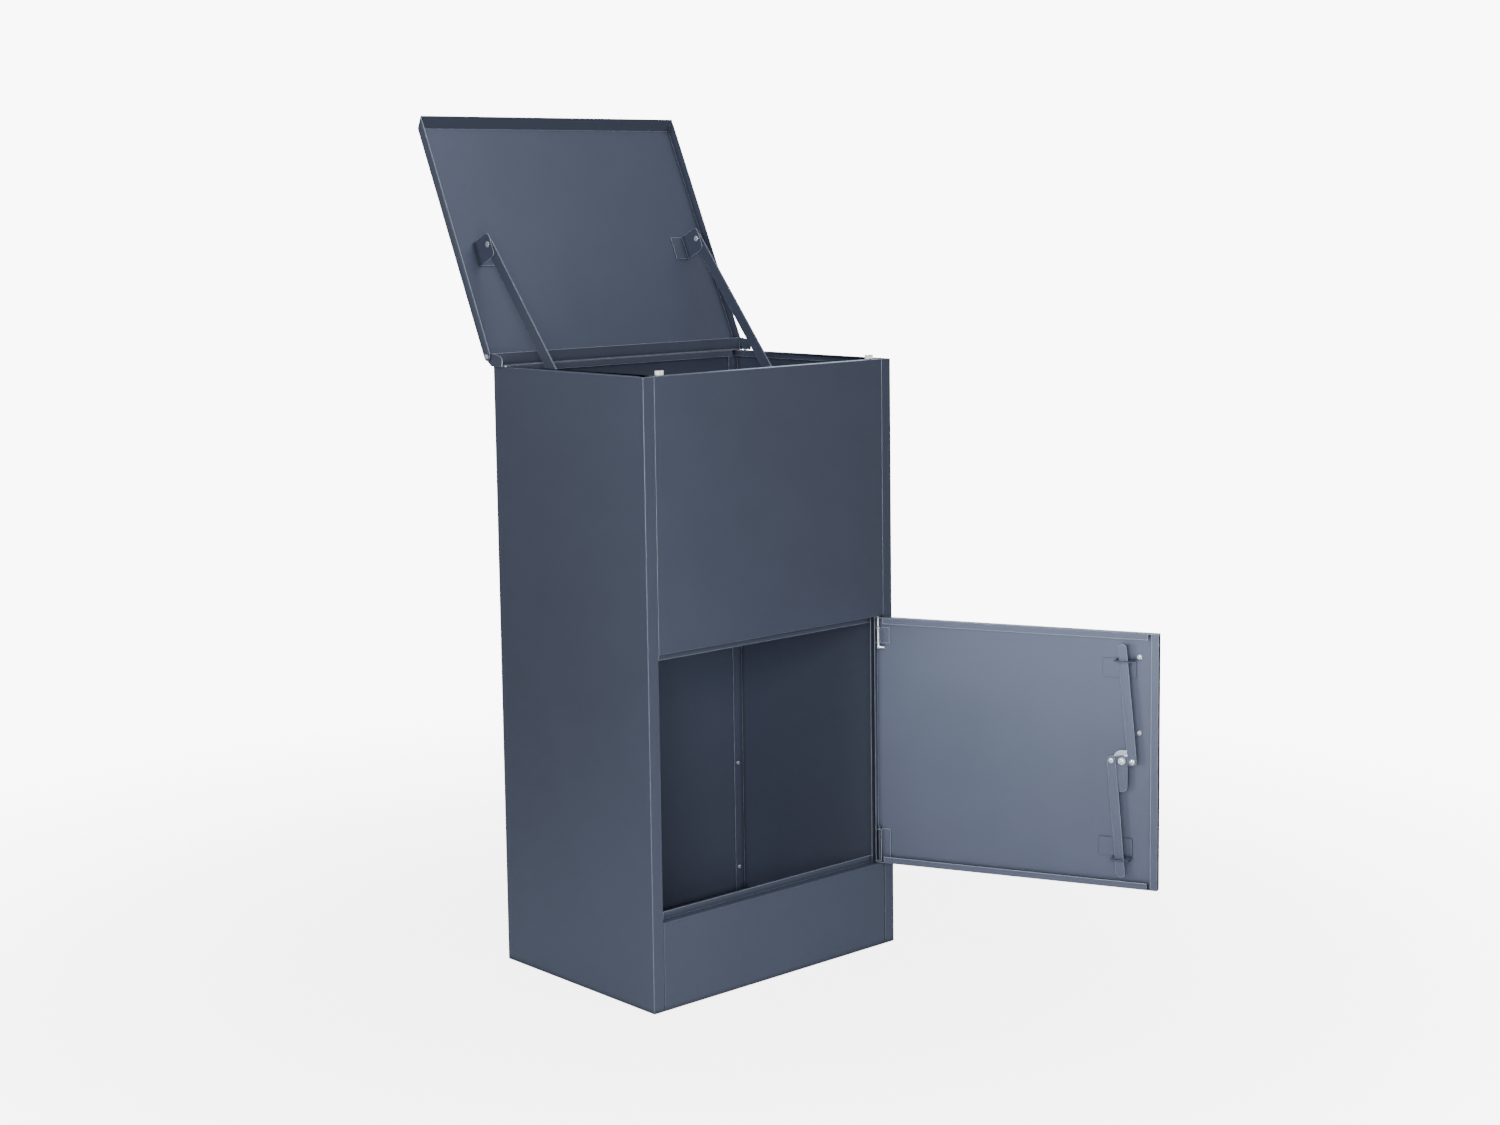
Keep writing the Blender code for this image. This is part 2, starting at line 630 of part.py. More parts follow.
def door_pan():
    """Door leaf: a pan with returned edges and holes for the lock and the hinge pins."""
    w, h, d = DOOR_WIDTH, DOOR_HEIGHT, DOOR_DEPTH
    skin = door_block((0, 0, 0), (w, SHEET, h))
    inside = SHEET / 2
    edges = [door_block((0, inside, 0), (w, d, SHEET)),
             door_block((0, inside, h - SHEET), (w, d, h)),
             door_block((0, inside, inside), (SHEET, d, h - inside)),
             door_block((w - SHEET, inside, inside), (w, d, h - inside))]
    lips = [door_block((DOOR_LIP_START, d - SHEET, inside), (DOOR_LIP_END, d, DOOR_LIP)),
            door_block((DOOR_LIP_START, d - SHEET, h - DOOR_LIP), (DOOR_LIP_END, d, h - inside)),
            door_block((w - DOOR_SIDE_LIP, d - SHEET, inside), (w - inside, d, h - inside))]
    holes = [door_disc(CAM_U, CAM_Z, LOCK_BODY_R + GAP, -0.002, 0.004),
             door_disc(HANDLE_U, HANDLE_Z - HANDLE_PITCH / 2, 0.0024, -0.002, 0.004, SMALL_SIDES),
             door_disc(HANDLE_U, HANDLE_Z + HANDLE_PITCH / 2, 0.0024, -0.002, 0.004, SMALL_SIDES),
             prism(circle((HINGE_X, HINGE_Y), HINGE_PIN_R + GAP, SMALL_SIDES), "z",
                   DOOR_Z - 0.005, DOOR_Z + h + 0.005)]
    return cut(union(skin, *edges, *lips), *holes)


def hinge_bracket(span):
    """Bracket with two eyes for a hinge pin, fixed to the inside of the door."""
    low_z, high_z = span
    base = SHEET + GAP
    ear_in = HINGE_IN + 0.0042
    fold_u = 0.0085
    foot = door_block((fold_u, base, low_z), (BRACKET_U, base + SHEET, high_z))
    spine = door_block((fold_u, base, low_z), (fold_u + SHEET, ear_in, high_z))
    eyes = [door_block((SHEET + GAP, base, z), (fold_u + SHEET, ear_in, z + SHEET))
            for z in (low_z, high_z - SHEET)]
    hole = prism(circle((HINGE_X, HINGE_Y), HINGE_PIN_R + GAP, SMALL_SIDES), "z",
                 DOOR_Z + low_z - SHEET, DOOR_Z + high_z + SHEET)
    return cut(union(foot, spine, *eyes), hole)


def hinge_pin_top():
    """L-shaped pin that can be drawn down to free the door."""
    top = DOOR_Z + DOOR_HEIGHT + PIN_RISE
    foot = DOOR_Z + DOOR_HEIGHT - PIN_LEG_DROP
    post = prism(circle((HINGE_X, HINGE_Y), HINGE_PIN_R, SMALL_SIDES), "z", foot - HINGE_PIN_R, top)
    leg = prism(circle((HINGE_Y, foot), HINGE_PIN_R, SMALL_SIDES), "x", HINGE_X - PIN_LEG, HINGE_X)
    return union(post, leg)


def hinge_pin_bottom():
    """Straight pin through the sill, the door's foot and the lower bracket."""
    return prism(circle((HINGE_X, HINGE_Y), HINGE_PIN_R, SMALL_SIDES), "z",
                 DOOR_Z - PIN_RISE, DOOR_Z + BOTTOM_BRACKET[1] + 0.004)


def lock_cylinder():
    """Threaded lock body with its round outer face and a bore for the plug."""
    body = door_disc(CAM_U, CAM_Z, LOCK_BODY_R, -SHEET, CAM_IN - 2 * GAP)
    face = door_disc(CAM_U, CAM_Z, LOCK_FACE_R, -0.0035, -GAP)
    bore = door_disc(CAM_U, CAM_Z, LOCK_PLUG_R + GAP, -0.0050, CAM_IN + 0.002)
    return cut(union(body, face), bore)


def lock_nut():
    """Six-sided nut that clamps the lock body to the door skin."""
    base = SHEET + GAP
    nut = door_disc(CAM_U, CAM_Z, LOCK_NUT_R, base, base + 0.0040, 6)
    return cut(nut, door_disc(CAM_U, CAM_Z, LOCK_BODY_R + GAP, 0.0, 0.010))


def stop_washer():
    """Half-round stop plate on the lock body behind the cam."""
    low = LOCK_WASHER_IN
    high = low + SHEET
    ring = door_disc(CAM_U, CAM_Z, LOCK_BODY_R + 0.0030, low, high)
    half = door_disc(CAM_U, CAM_Z, LOCK_WASHER_R, low, high)
    lower = door_block((CAM_U - 0.020, low - SHEET, CAM_Z - 0.020), (CAM_U + 0.020, high + SHEET, CAM_Z))
    body = union(ring, cut(half, lower))
    return cut(body, door_disc(CAM_U, CAM_Z, LOCK_BODY_R + GAP, low - SHEET, high + SHEET))


def lock_plug():
    """Keyed core that turns the cam, with its key slot."""
    core = door_disc(CAM_U, CAM_Z, LOCK_PLUG_R, -0.0038, CAM_IN - GAP)
    slot = door_block((CAM_U - 0.0011, -0.0060, CAM_Z - 0.0038), (CAM_U + 0.0011, 0.0060, CAM_Z + 0.0038))
    return cut(core, slot)


def cam_plate():
    """Cam with two rod eyes and a tail that turns behind the jamb."""
    eye = ROD_WIDTH / 2
    arms = door_outline(capsule((CAM_U - CAM_ARM, CAM_Z), (CAM_U + CAM_ARM, CAM_Z), eye, eye),
                        CAM_IN, CAM_IN + CAM_THICK)
    hub = door_disc(CAM_U, CAM_Z, CAM_HUB_R, CAM_IN, CAM_IN + CAM_THICK)
    tail_end = CAM_Z - CAM_TAIL + CAM_WIDTH / 2
    tail = door_outline(capsule((CAM_U, CAM_Z), (CAM_U, tail_end), CAM_WIDTH / 2, CAM_WIDTH / 2),
                        CAM_IN, CAM_IN + CAM_THICK)
    holes = [door_disc(CAM_U + shift, CAM_Z, RIVET_R + GAP, CAM_IN - 0.002, CAM_IN + 0.004, SMALL_SIDES)
             for shift in (-CAM_ARM, 0.0, CAM_ARM)]
    return cut(union(arms, hub, tail), *holes)


def cam_screw():
    """Screw that clamps the cam to the plug."""
    top = CAM_IN + CAM_THICK + GAP
    shank = door_disc(CAM_U, CAM_Z, RIVET_R, CAM_IN, top + 0.0005, SMALL_SIDES)
    head = door_disc(CAM_U, CAM_Z, CAM_SCREW_R, top, top + CAM_SCREW_H)
    slot = door_block((CAM_U - SLOT_REACH, top + CAM_SCREW_H / 2, CAM_Z - SLOT_HALF),
                      (CAM_U + SLOT_REACH, top + 2 * CAM_SCREW_H, CAM_Z + SLOT_HALF))
    return cut(union(shank, head), slot)


def cam_rivet(direction):
    """Rivet that joins one rod to the cam."""
    u = CAM_U + direction * CAM_ARM
    top = ROD_IN + ROD_THICK + GAP
    shank = door_disc(u, CAM_Z, RIVET_R, CAM_IN - 2 * GAP, top + GAP, SMALL_SIDES)
    heads = [door_disc(u, CAM_Z, RIVET_HEAD_R, *span, SMALL_SIDES)
             for span in ((CAM_IN - GAP - 0.0010, CAM_IN - GAP), (top, top + 0.0014))]
    return union(shank, *heads)


def lock_rod(rod):
    """Flat rod from the cam to the header or the sill, leaning towards the cam's centre line."""
    direction, length, tilt = rod
    u = CAM_U + direction * CAM_ARM
    reach = length - ROD_WIDTH / 2
    tip = (u - direction * reach * math.sin(tilt), CAM_Z + direction * reach * math.cos(tilt))
    bar = door_outline(capsule((u, CAM_Z), tip, ROD_WIDTH / 2, ROD_WIDTH / 2), ROD_IN, ROD_IN + ROD_THICK)
    hole = door_disc(u, CAM_Z, RIVET_R + GAP, ROD_IN - 0.002, ROD_IN + 0.004, SMALL_SIDES)
    return cut(bar, hole)


def rod_guide(direction):
    """Angle bracket on the door whose slotted tab keeps a rod in line."""
    tab_z = CAM_Z + direction * GUIDE_TAB_FROM_CAM
    middle = CAM_U + direction * GUIDE_SLOT_SHIFT
    low_u = middle - GUIDE_LONG
    high_u = middle + GUIDE_SHORT
    base = SHEET + GAP
    inner_z = tab_z - direction * GUIDE_FOOT
    foot = door_block((low_u, base, min(tab_z, inner_z)), (high_u, base + SHEET, max(tab_z, inner_z)))
    tab = door_block((middle - GUIDE_TAB_HALF, base, tab_z - SHEET / 2),
                     (high_u, GUIDE_TAB, tab_z + SHEET / 2))
    slot = door_block((middle - GUIDE_SLOT_HALF, ROD_IN - 0.0010, tab_z - 0.003),
                      (middle + GUIDE_SLOT_HALF, ROD_IN + ROD_THICK + 0.0010, tab_z + 0.003))
    return cut(union(foot, tab), slot)


def pull_handle():
    """Bow handle on the outside of the door."""
    path = []
    bend = 0.010
    half = HANDLE_PITCH / 2
    out = -HANDLE_STANDOFF
    path.append((-half, -GAP))
    for i in range(7):
        at = math.pi / 2 * i / 6
        path.append((-half + bend * (1 - math.cos(at)), out + bend * (1 - math.sin(at))))
    for i in range(7):
        at = math.pi / 2 * (1 - i / 6)
        path.append((half - bend * (1 - math.cos(at)), out + bend * (1 - math.sin(at))))
    path.append((half, -GAP))
    bm = bmesh.new()
    rings = []
    for index, (height, depth) in enumerate(path):
        before = Vector(path[max(index - 1, 0)])
        after = Vector(path[min(index + 1, len(path) - 1)])
        if index in (0, len(path) - 1):
            run = Vector((0.0, -1.0 if index == 0 else 1.0))
        else:
            run = (after - before).normalized()
        side = Vector((-run.y, run.x))
        ring = []
        for first, second in circle((0.0, 0.0), HANDLE_BAR_R, SMALL_SIDES):
            ring.append(bm.verts.new((DOOR_EDGE_X - HANDLE_U + first, FRONT + depth + side.y * second,
                                      DOOR_Z + HANDLE_Z + height + side.x * second)))
        rings.append(ring)
    for low, high in zip(rings, rings[1:]):
        for i in range(SMALL_SIDES):
            after = (i + 1) % SMALL_SIDES
            bm.faces.new((low[i], low[after], high[after], high[i]))
    bm.faces.new(rings[0])
    bm.faces.new(rings[-1])
    bar = mesh_from(bm)
    holes = [door_disc(HANDLE_U, HANDLE_Z + shift, HANDLE_SCREW_R + GAP, -0.0100, 0.002, SMALL_SIDES)
             for shift in (-half, half)]
    return cut(bar, *holes)


def handle_screw(direction):
    """Screw that holds one foot of the handle from inside the door."""
    height = HANDLE_Z + direction * HANDLE_PITCH / 2
    seat = SHEET + GAP
    shank = door_disc(HANDLE_U, height, HANDLE_SCREW_R, -0.0090, seat + GAP, SMALL_SIDES)
    head = door_disc(HANDLE_U, height, HANDLE_HEAD_R, seat, seat + HANDLE_HEAD_H, SMALL_SIDES)
    return union(shank, head)


# ---------------------------------------------------------------- assembly

def turned_door():
    """Turn from the closed door to the open one, about the hinge pins."""
    centre = Vector((HINGE_X, HINGE_Y, 0.0))
    return Matrix.Translation(centre) @ Matrix.Rotation(DOOR_OPEN, 4, "Z") @ Matrix.Translation(-centre)


def place_cabinet():
    add("left_side_panel", side_panel(), "powder")
    add("right_side_panel", mirror_x(side_panel()), "powder")
    add("back_panel", back_panel(), "powder")
    add("upper_front_panel", upper_front_panel(), "powder")
    add("kick_panel", kick_panel(), "powder")
    add("floor_panel", floor_panel(), "powder")
    add("hinge_rail", hinge_rail(), "powder")
    for side, direction in (("left", -1), ("right", 1)):
        add(f"lid_bumper_{side}", bumper(direction), "rubber")
        for number, height in enumerate(SCREW_HEIGHTS, 1):
            add(f"corner_screw_{side}_{number}", corner_screw(direction, height), "zinc")


def place_lid():
    pivot = (0.0, *LID_PIVOT)
    lid = add("lid_pan", lid_pan(), "powder", origin=pivot)
    flap = add("drop_flap", drop_flap(), "powder", origin=(0.0, *FLAP_PIVOT))
    for side in ("left", "right"):
        add(f"lid_bracket_{side}", lid_bracket(side), "powder", parent=lid)
        add(f"lid_arm_rivet_{side}", arm_rivet(side, ARM_TOP), "zinc", parent=lid)
        add(f"lid_hinge_rivet_{side}", hinge_rivet(side), "zinc", parent=lid)
        add(f"lid_arm_{side}", lid_arm(side), "powder", parent=lid, origin=(ARM_PLANES[side], *ARM_TOP))
        add(f"flap_pivot_{side}", arm_rivet(side, ARM_FOOT), "zinc", parent=flap)
    add("flap_shaft", flap_shaft(), "zinc")
    add("rear_chute", chute(), "powder")


def place_door():
    turn = turned_door()
    hinge = (HINGE_X, HINGE_Y, DOOR_Z)
    door = add("door_pan", door_pan(), "powder", matrix=turn, origin=hinge)
    add("door_bracket_top", hinge_bracket(TOP_BRACKET), "powder", door, turn)
    add("door_bracket_bottom", hinge_bracket(BOTTOM_BRACKET), "powder", door, turn)
    add("hinge_pin_top", hinge_pin_top(), "zinc", door, turn, hinge)
    add("hinge_pin_bottom", hinge_pin_bottom(), "zinc", door, turn)
    add("lock_cylinder", lock_cylinder(), "zinc", door, turn)
    add("lock_nut", lock_nut(), "zinc", door, turn)
    add("stop_washer", stop_washer(), "zinc", door, turn)
    add("pull_handle", pull_handle(), "zinc", door, turn)
    for name, direction in (("top", 1), ("bottom", -1)):
        add(f"handle_screw_{name}", handle_screw(direction), "zinc", door, turn)
    centre = turn @ Vector((DOOR_EDGE_X - CAM_U, FRONT + CAM_IN, DOOR_Z + CAM_Z))
    cam = add("cam_plate", cam_plate(), "powder", door, turn, centre)
    add("lock_plug", lock_plug(), "plug", cam, turn)
    add("cam_screw", cam_screw(), "zinc", cam, turn)
    for name, rod in (("upper", UPPER_ROD), ("lower", LOWER_ROD)):
        direction = rod[0]
        eye = turn @ Vector((DOOR_EDGE_X - CAM_U - direction * CAM_ARM, FRONT + ROD_IN, DOOR_Z + CAM_Z))
        add(f"cam_rivet_{name}", cam_rivet(direction), "zinc", cam, turn)
        add(f"{name}_rod", lock_rod(rod), "powder", cam, turn, eye)
        add(f"{name}_rod_guide", rod_guide(direction), "powder", door, turn)


def main():
    clear_scene()
    place_cabinet()
    place_lid()
    place_door()


main()
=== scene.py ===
"""Studio scene of a sheet-steel parcel drop box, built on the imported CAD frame.

The CAD pieces give every place and size. This script rounds their folds, adds turned fasteners
and small hardware, gives each surface its finish, and sets up a plain studio.
"""

import json
import logging
import math
from dataclasses import dataclass, field
from enum import Enum

import bmesh
import bpy
from mathutils import Matrix, Vector

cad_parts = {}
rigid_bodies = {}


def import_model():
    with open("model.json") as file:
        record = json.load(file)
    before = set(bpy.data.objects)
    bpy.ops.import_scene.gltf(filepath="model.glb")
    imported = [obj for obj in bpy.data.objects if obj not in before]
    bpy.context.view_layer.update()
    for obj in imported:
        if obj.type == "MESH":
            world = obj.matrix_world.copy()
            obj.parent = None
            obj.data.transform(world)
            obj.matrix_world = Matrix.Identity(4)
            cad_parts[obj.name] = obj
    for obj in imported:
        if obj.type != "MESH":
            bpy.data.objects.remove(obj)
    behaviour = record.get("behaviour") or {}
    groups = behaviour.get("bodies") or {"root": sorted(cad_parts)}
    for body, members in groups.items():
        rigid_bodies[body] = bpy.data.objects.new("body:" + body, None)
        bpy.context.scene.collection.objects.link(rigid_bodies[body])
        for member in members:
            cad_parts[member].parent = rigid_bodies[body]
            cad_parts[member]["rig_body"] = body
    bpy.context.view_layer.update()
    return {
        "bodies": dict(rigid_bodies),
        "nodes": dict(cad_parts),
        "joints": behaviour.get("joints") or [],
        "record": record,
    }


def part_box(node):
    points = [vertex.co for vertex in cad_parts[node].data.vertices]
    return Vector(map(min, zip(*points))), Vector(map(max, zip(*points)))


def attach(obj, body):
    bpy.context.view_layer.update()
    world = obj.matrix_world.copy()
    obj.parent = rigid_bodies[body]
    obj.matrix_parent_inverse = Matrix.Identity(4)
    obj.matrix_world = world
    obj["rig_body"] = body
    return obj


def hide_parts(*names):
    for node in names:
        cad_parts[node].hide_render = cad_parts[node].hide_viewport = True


LOG = logging.getLogger("parcel_box")
SIDES = ("left", "right")
Colour = tuple[float, float, float]


class Slot(Enum):
    """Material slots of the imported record."""

    POWDER = "powder_coat"
    ZINC = "zinc_hardware"
    SOFT = "soft_stop"
    CORE = "lock_core"


# ------------------------------------------------------------------ node groups

@dataclass
class GroupBuilder:
    """Small helper that builds one shader node group.

    Args:
        name: Name of the group.
        inputs: Socket name to (socket type, default value).
        outputs: Socket name to socket type.
    """

    name: str
    inputs: dict[str, tuple[str, object]]
    outputs: dict[str, str]
    tree: bpy.types.NodeTree = field(init=False)

    def __post_init__(self) -> None:
        """Make the tree with its sockets."""
        self.tree = bpy.data.node_groups.new(self.name, "ShaderNodeTree")
        for label, (kind, default) in self.inputs.items():
            socket = self.tree.interface.new_socket(label, in_out="INPUT", socket_type=kind)
            if default is not None:
                socket.default_value = default
        for label, kind in self.outputs.items():
            self.tree.interface.new_socket(label, in_out="OUTPUT", socket_type=kind)
        self.source = self.tree.nodes.new("NodeGroupInput")
        self.sink = self.tree.nodes.new("NodeGroupOutput")

    def node(self, kind: str, **values: object) -> bpy.types.Node:
        """Add a node and set its properties or its sockets' defaults.

        Args:
            kind: Node type name.
            values: Property names, or socket names with spaces written as underscores.

        Returns:
            The new node.
        """
        return add_node(self.tree, kind, **values)

    def link(self, start: bpy.types.NodeSocket, end: bpy.types.NodeSocket) -> None:
        """Join two sockets."""
        self.tree.links.new(start, end)


def add_node(tree: bpy.types.NodeTree, kind: str, **values: object) -> bpy.types.Node:
    """Add a node to a tree.

    Args:
        tree: The tree.
        kind: Node type name.
        values: Property names, or socket names with spaces written as underscores.

    Returns:
        The new node.
    """
    node = tree.nodes.new(kind)
    for label, value in values.items():
        if hasattr(node, label):
            setattr(node, label, value)
        else:
            node.inputs[label.replace("_", " ")].default_value = value
    return node


def noise_at(builder: GroupBuilder, scale: float, detail: float = 2.0) -> bpy.types.NodeSocket:
    """Add noise that is measured in the object's own metres.

    Args:
        builder: The group's builder.
        scale: Noise cycles per metre.
        detail: Finer layers of noise.

    Returns:
        The socket with the noise value.
    """
    place = builder.node("ShaderNodeTexCoord")
    noise = builder.node("ShaderNodeTexNoise", Scale=scale, Detail=detail)
    builder.link(place.outputs["Object"], noise.inputs["Vector"])
    return noise.outputs["Fac"]


def edge_mask_group() -> bpy.types.NodeTree:
    """Mask that is 1 on tight corners, from the difference of a rounded and a true normal; it places the
    painted edge tone.

    Returns:
        The group's node tree.
    """
    builder = GroupBuilder("EdgeMask", {"Radius": ("NodeSocketFloat", 0.0012)}, {"Mask": "NodeSocketFloat"})
    rounded = builder.node("ShaderNodeBevel", samples=6)
    builder.link(builder.source.outputs["Radius"], rounded.inputs["Radius"])
    geometry = builder.node("ShaderNodeNewGeometry")
    dot = builder.node("ShaderNodeVectorMath", operation="DOT_PRODUCT")
    builder.link(rounded.outputs["Normal"], dot.inputs[0])
    builder.link(geometry.outputs["Normal"], dot.inputs[1])
    spread = builder.node("ShaderNodeMapRange")
    spread.inputs["From Min"].default_value = 0.995
    spread.inputs["From Max"].default_value = 0.80
    builder.link(dot.outputs["Value"], spread.inputs["Value"])
    builder.link(spread.outputs["Result"], builder.sink.inputs["Mask"])
    return builder.tree


def coat_texture_group() -> bpy.types.NodeTree:
    """Normal of a baked powder coat: fine peel over a broader waviness of the sheet.

    Returns:
        The group's node tree.
    """
    builder = GroupBuilder(
        "CoatTexture",
        {"Strength": ("NodeSocketFloat", 0.25), "Radius": ("NodeSocketFloat", 0.0006)},
        {"Normal": "NodeSocketVector"},
    )
    rounded = builder.node("ShaderNodeBevel", samples=4)
    builder.link(builder.source.outputs["Radius"], rounded.inputs["Radius"])
    wave = builder.node("ShaderNodeBump", Strength=0.10, Distance=0.002)
    builder.link(noise_at(builder, 7.0, 1.0), wave.inputs["Height"])
    builder.link(rounded.outputs["Normal"], wave.inputs["Normal"])
    peel = builder.node("ShaderNodeBump", Distance=0.0001)
    builder.link(builder.source.outputs["Strength"], peel.inputs["Strength"])
    builder.link(noise_at(builder, 1100.0, 3.0), peel.inputs["Height"])
    builder.link(wave.outputs["Normal"], peel.inputs["Normal"])
    builder.link(peel.outputs["Normal"], builder.sink.inputs["Normal"])
    return builder.tree


def tone_drift_group() -> bpy.types.NodeTree:
    """Colour with broad tone drift, fine speckle and a painted edge tone where a mask says so (a painted
    highlight where that tone is lighter, painted shade where it is darker).

    Returns:
        The group's node tree.
    """
    builder = GroupBuilder(
        "ToneDrift",
        {"Color": ("NodeSocketColor", (0.1, 0.1, 0.1, 1.0)), "Drift": ("NodeSocketFloat", 0.06),
         "Speckle": ("NodeSocketFloat", 0.05), "Mask": ("NodeSocketFloat", 0.0),
         "Worn": ("NodeSocketColor", (0.3, 0.3, 0.3, 1.0))},
        {"Color": "NodeSocketColor"},
    )
    total = builder.node("ShaderNodeMath", operation="ADD")
    for index, (amount, scale) in enumerate((("Drift", 4.5), ("Speckle", 900.0))):
        centred = builder.node("ShaderNodeMath", operation="SUBTRACT")
        centred.inputs[1].default_value = 0.5
        builder.link(noise_at(builder, scale), centred.inputs[0])
        scaled = builder.node("ShaderNodeMath", operation="MULTIPLY")
        builder.link(centred.outputs[0], scaled.inputs[0])
        builder.link(builder.source.outputs[amount], scaled.inputs[1])
        builder.link(scaled.outputs[0], total.inputs[index])
    gain = builder.node("ShaderNodeMath", operation="ADD")
    gain.inputs[1].default_value = 1.0
    builder.link(total.outputs[0], gain.inputs[0])
    scaled_colour = builder.node("ShaderNodeVectorMath", operation="SCALE")
    builder.link(builder.source.outputs["Color"], scaled_colour.inputs[0])
    builder.link(gain.outputs[0], scaled_colour.inputs["Scale"])
    mix = builder.node("ShaderNodeMix", data_type="RGBA")
    builder.link(builder.source.outputs["Mask"], mix.inputs["Factor"])
    builder.link(scaled_colour.outputs[0], mix.inputs["A"])
    builder.link(builder.source.outputs["Worn"], mix.inputs["B"])
    builder.link(mix.outputs["Result"], builder.sink.inputs["Color"])
    return builder.tree


def roughness_group() -> bpy.types.NodeTree:
    """Roughness that varies a little, as from handling and uneven baking.

    Returns:
        The group's node tree.
    """
    builder = GroupBuilder(
        "RoughnessDrift",
        {"Base": ("NodeSocketFloat", 0.45), "Spread": ("NodeSocketFloat", 0.08)},
        {"Roughness": "NodeSocketFloat"},
    )
    centred = builder.node("ShaderNodeMath", operation="SUBTRACT")
    centred.inputs[1].default_value = 0.5
    builder.link(noise_at(builder, 18.0, 4.0), centred.inputs[0])
    scaled = builder.node("ShaderNodeMath", operation="MULTIPLY_ADD")
    builder.link(centred.outputs[0], scaled.inputs[0])
    builder.link(builder.source.outputs["Spread"], scaled.inputs[1])
    builder.link(builder.source.outputs["Base"], scaled.inputs[2])
    builder.link(scaled.outputs[0], builder.sink.inputs["Roughness"])
    return builder.tree


def crystal_group() -> bpy.types.NodeTree:
    """Tone of zinc plate: small cloudy grains.

    Returns:
        The group's node tree.
    """
    builder = GroupBuilder(
        "ZincCloud",
        {"Dark": ("NodeSocketColor", (0.45, 0.46, 0.48, 1.0)),
         "Light": ("NodeSocketColor", (0.8, 0.8, 0.8, 1.0))},
        {"Color": "NodeSocketColor"},
    )
    mix = builder.node("ShaderNodeMix", data_type="RGBA")
    builder.link(noise_at(builder, 420.0, 3.0), mix.inputs["Factor"])
    builder.link(builder.source.outputs["Dark"], mix.inputs["A"])
    builder.link(builder.source.outputs["Light"], mix.inputs["B"])
    builder.link(mix.outputs["Result"], builder.sink.inputs["Color"])
    return builder.tree


# ------------------------------------------------------------------ finishes

@dataclass
class GroupSet:
    """The node groups that the finishes share."""

    edge: bpy.types.NodeTree = field(default_factory=edge_mask_group)
    coat: bpy.types.NodeTree = field(default_factory=coat_texture_group)
    tone: bpy.types.NodeTree = field(default_factory=tone_drift_group)
    rough: bpy.types.NodeTree = field(default_factory=roughness_group)
    cloud: bpy.types.NodeTree = field(default_factory=crystal_group)


@dataclass(frozen=True)
class Finish:
    """Base of the finishes: a name and the shader's constant values."""

    name: str
    colour: Colour
    roughness: float
    metallic: float = 0.0

    def start(self) -> tuple[bpy.types.Material, bpy.types.Node]:
        """Make an empty material with its main shader.

        Returns:
            The material and its Principled node.
        """
        material = bpy.data.materials.new(self.name)
        material.use_nodes = True
        shader = material.node_tree.nodes["Principled BSDF"]
        shader.inputs["Base Color"].default_value = (*self.colour, 1.0)
        shader.inputs["Roughness"].default_value = self.roughness
        shader.inputs["Metallic"].default_value = self.metallic
        material.diffuse_color = (*self.colour, 1.0)
        return material, shader

    @staticmethod
    def group(material: bpy.types.Material, tree: bpy.types.NodeTree, **values: object) -> bpy.types.Node:
        """Add a node group to a material.

        Args:
            material: The material.
            tree: The group's tree.
            values: Input names and their values.

        Returns:
            The group node.
        """
        node = material.node_tree.nodes.new("ShaderNodeGroup")
        node.node_tree = tree
        for label, value in values.items():
            node.inputs[label].default_value = value
        return node


@dataclass(frozen=True)
class PowderCoat(Finish):
    """Satin powder coat with peel and tone drift, a painted highlight on its folds and painted shade in its
    creases.
    """

    # Edge tone mixed in on folds and rims by the edge mask: lighter than the coat, it is a painted highlight;
    # darker, as on the flush coat, it is painted shade along the edges.
    painted_edge_tone: Colour = (0.62, 0.68, 0.78)
    peel: float = 0.22
    edge: float = 0.95
    # Lowest share of the colour left in creases by the painted shade.
    shade: float = 0.25

    def build(self, groups: GroupSet) -> bpy.types.Material:
        """Build the material.

        Args:
            groups: The shared node groups.

        Returns:
            The finished material.
        """
        material, shader = self.start()
        links = material.node_tree.links
        # Painted highlight: the edge mask mixes the edge tone into the colour on folds and rims.
        edge = self.group(material, groups.edge, Radius=0.0014)
        soften = add_node(material.node_tree, "ShaderNodeMath", operation="MULTIPLY")
        soften.inputs[1].default_value = self.edge
        links.new(edge.outputs["Mask"], soften.inputs[0])
        tone = self.group(material, groups.tone, Color=(*self.colour, 1.0), Drift=0.10, Speckle=0.10,
                          Worn=(*self.painted_edge_tone, 1.0))
        links.new(soften.outputs[0], tone.inputs["Mask"])
        # Painted shade: short-range ambient occlusion darkens the colour in creases, gaps and recesses.
        crease_occlusion = add_node(material.node_tree, "ShaderNodeAmbientOcclusion", Distance=0.014)
        crease_occlusion.samples = 8
        depth = add_node(material.node_tree, "ShaderNodeMapRange")
        for socket, value in (("From Min", 0.30), ("From Max", 0.85), ("To Min", self.shade), ("To Max", 1.0)):
            depth.inputs[socket].default_value = value
        links.new(crease_occlusion.outputs["AO"], depth.inputs["Value"])
        crease_shaded_colour = add_node(material.node_tree, "ShaderNodeVectorMath", operation="SCALE")
        links.new(tone.outputs["Color"], crease_shaded_colour.inputs[0])
        links.new(depth.outputs["Result"], crease_shaded_colour.inputs["Scale"])
        links.new(crease_shaded_colour.outputs["Vector"], shader.inputs["Base Color"])
        rough = self.group(material, groups.rough, Base=self.roughness, Spread=0.10)
        links.new(rough.outputs["Roughness"], shader.inputs["Roughness"])
        coat = self.group(material, groups.coat, Strength=self.peel, Radius=0.0005)
        links.new(coat.outputs["Normal"], shader.inputs["Normal"])
        shader.inputs["Specular Tint"].default_value = (0.74, 0.83, 1.0, 1.0)
        return material


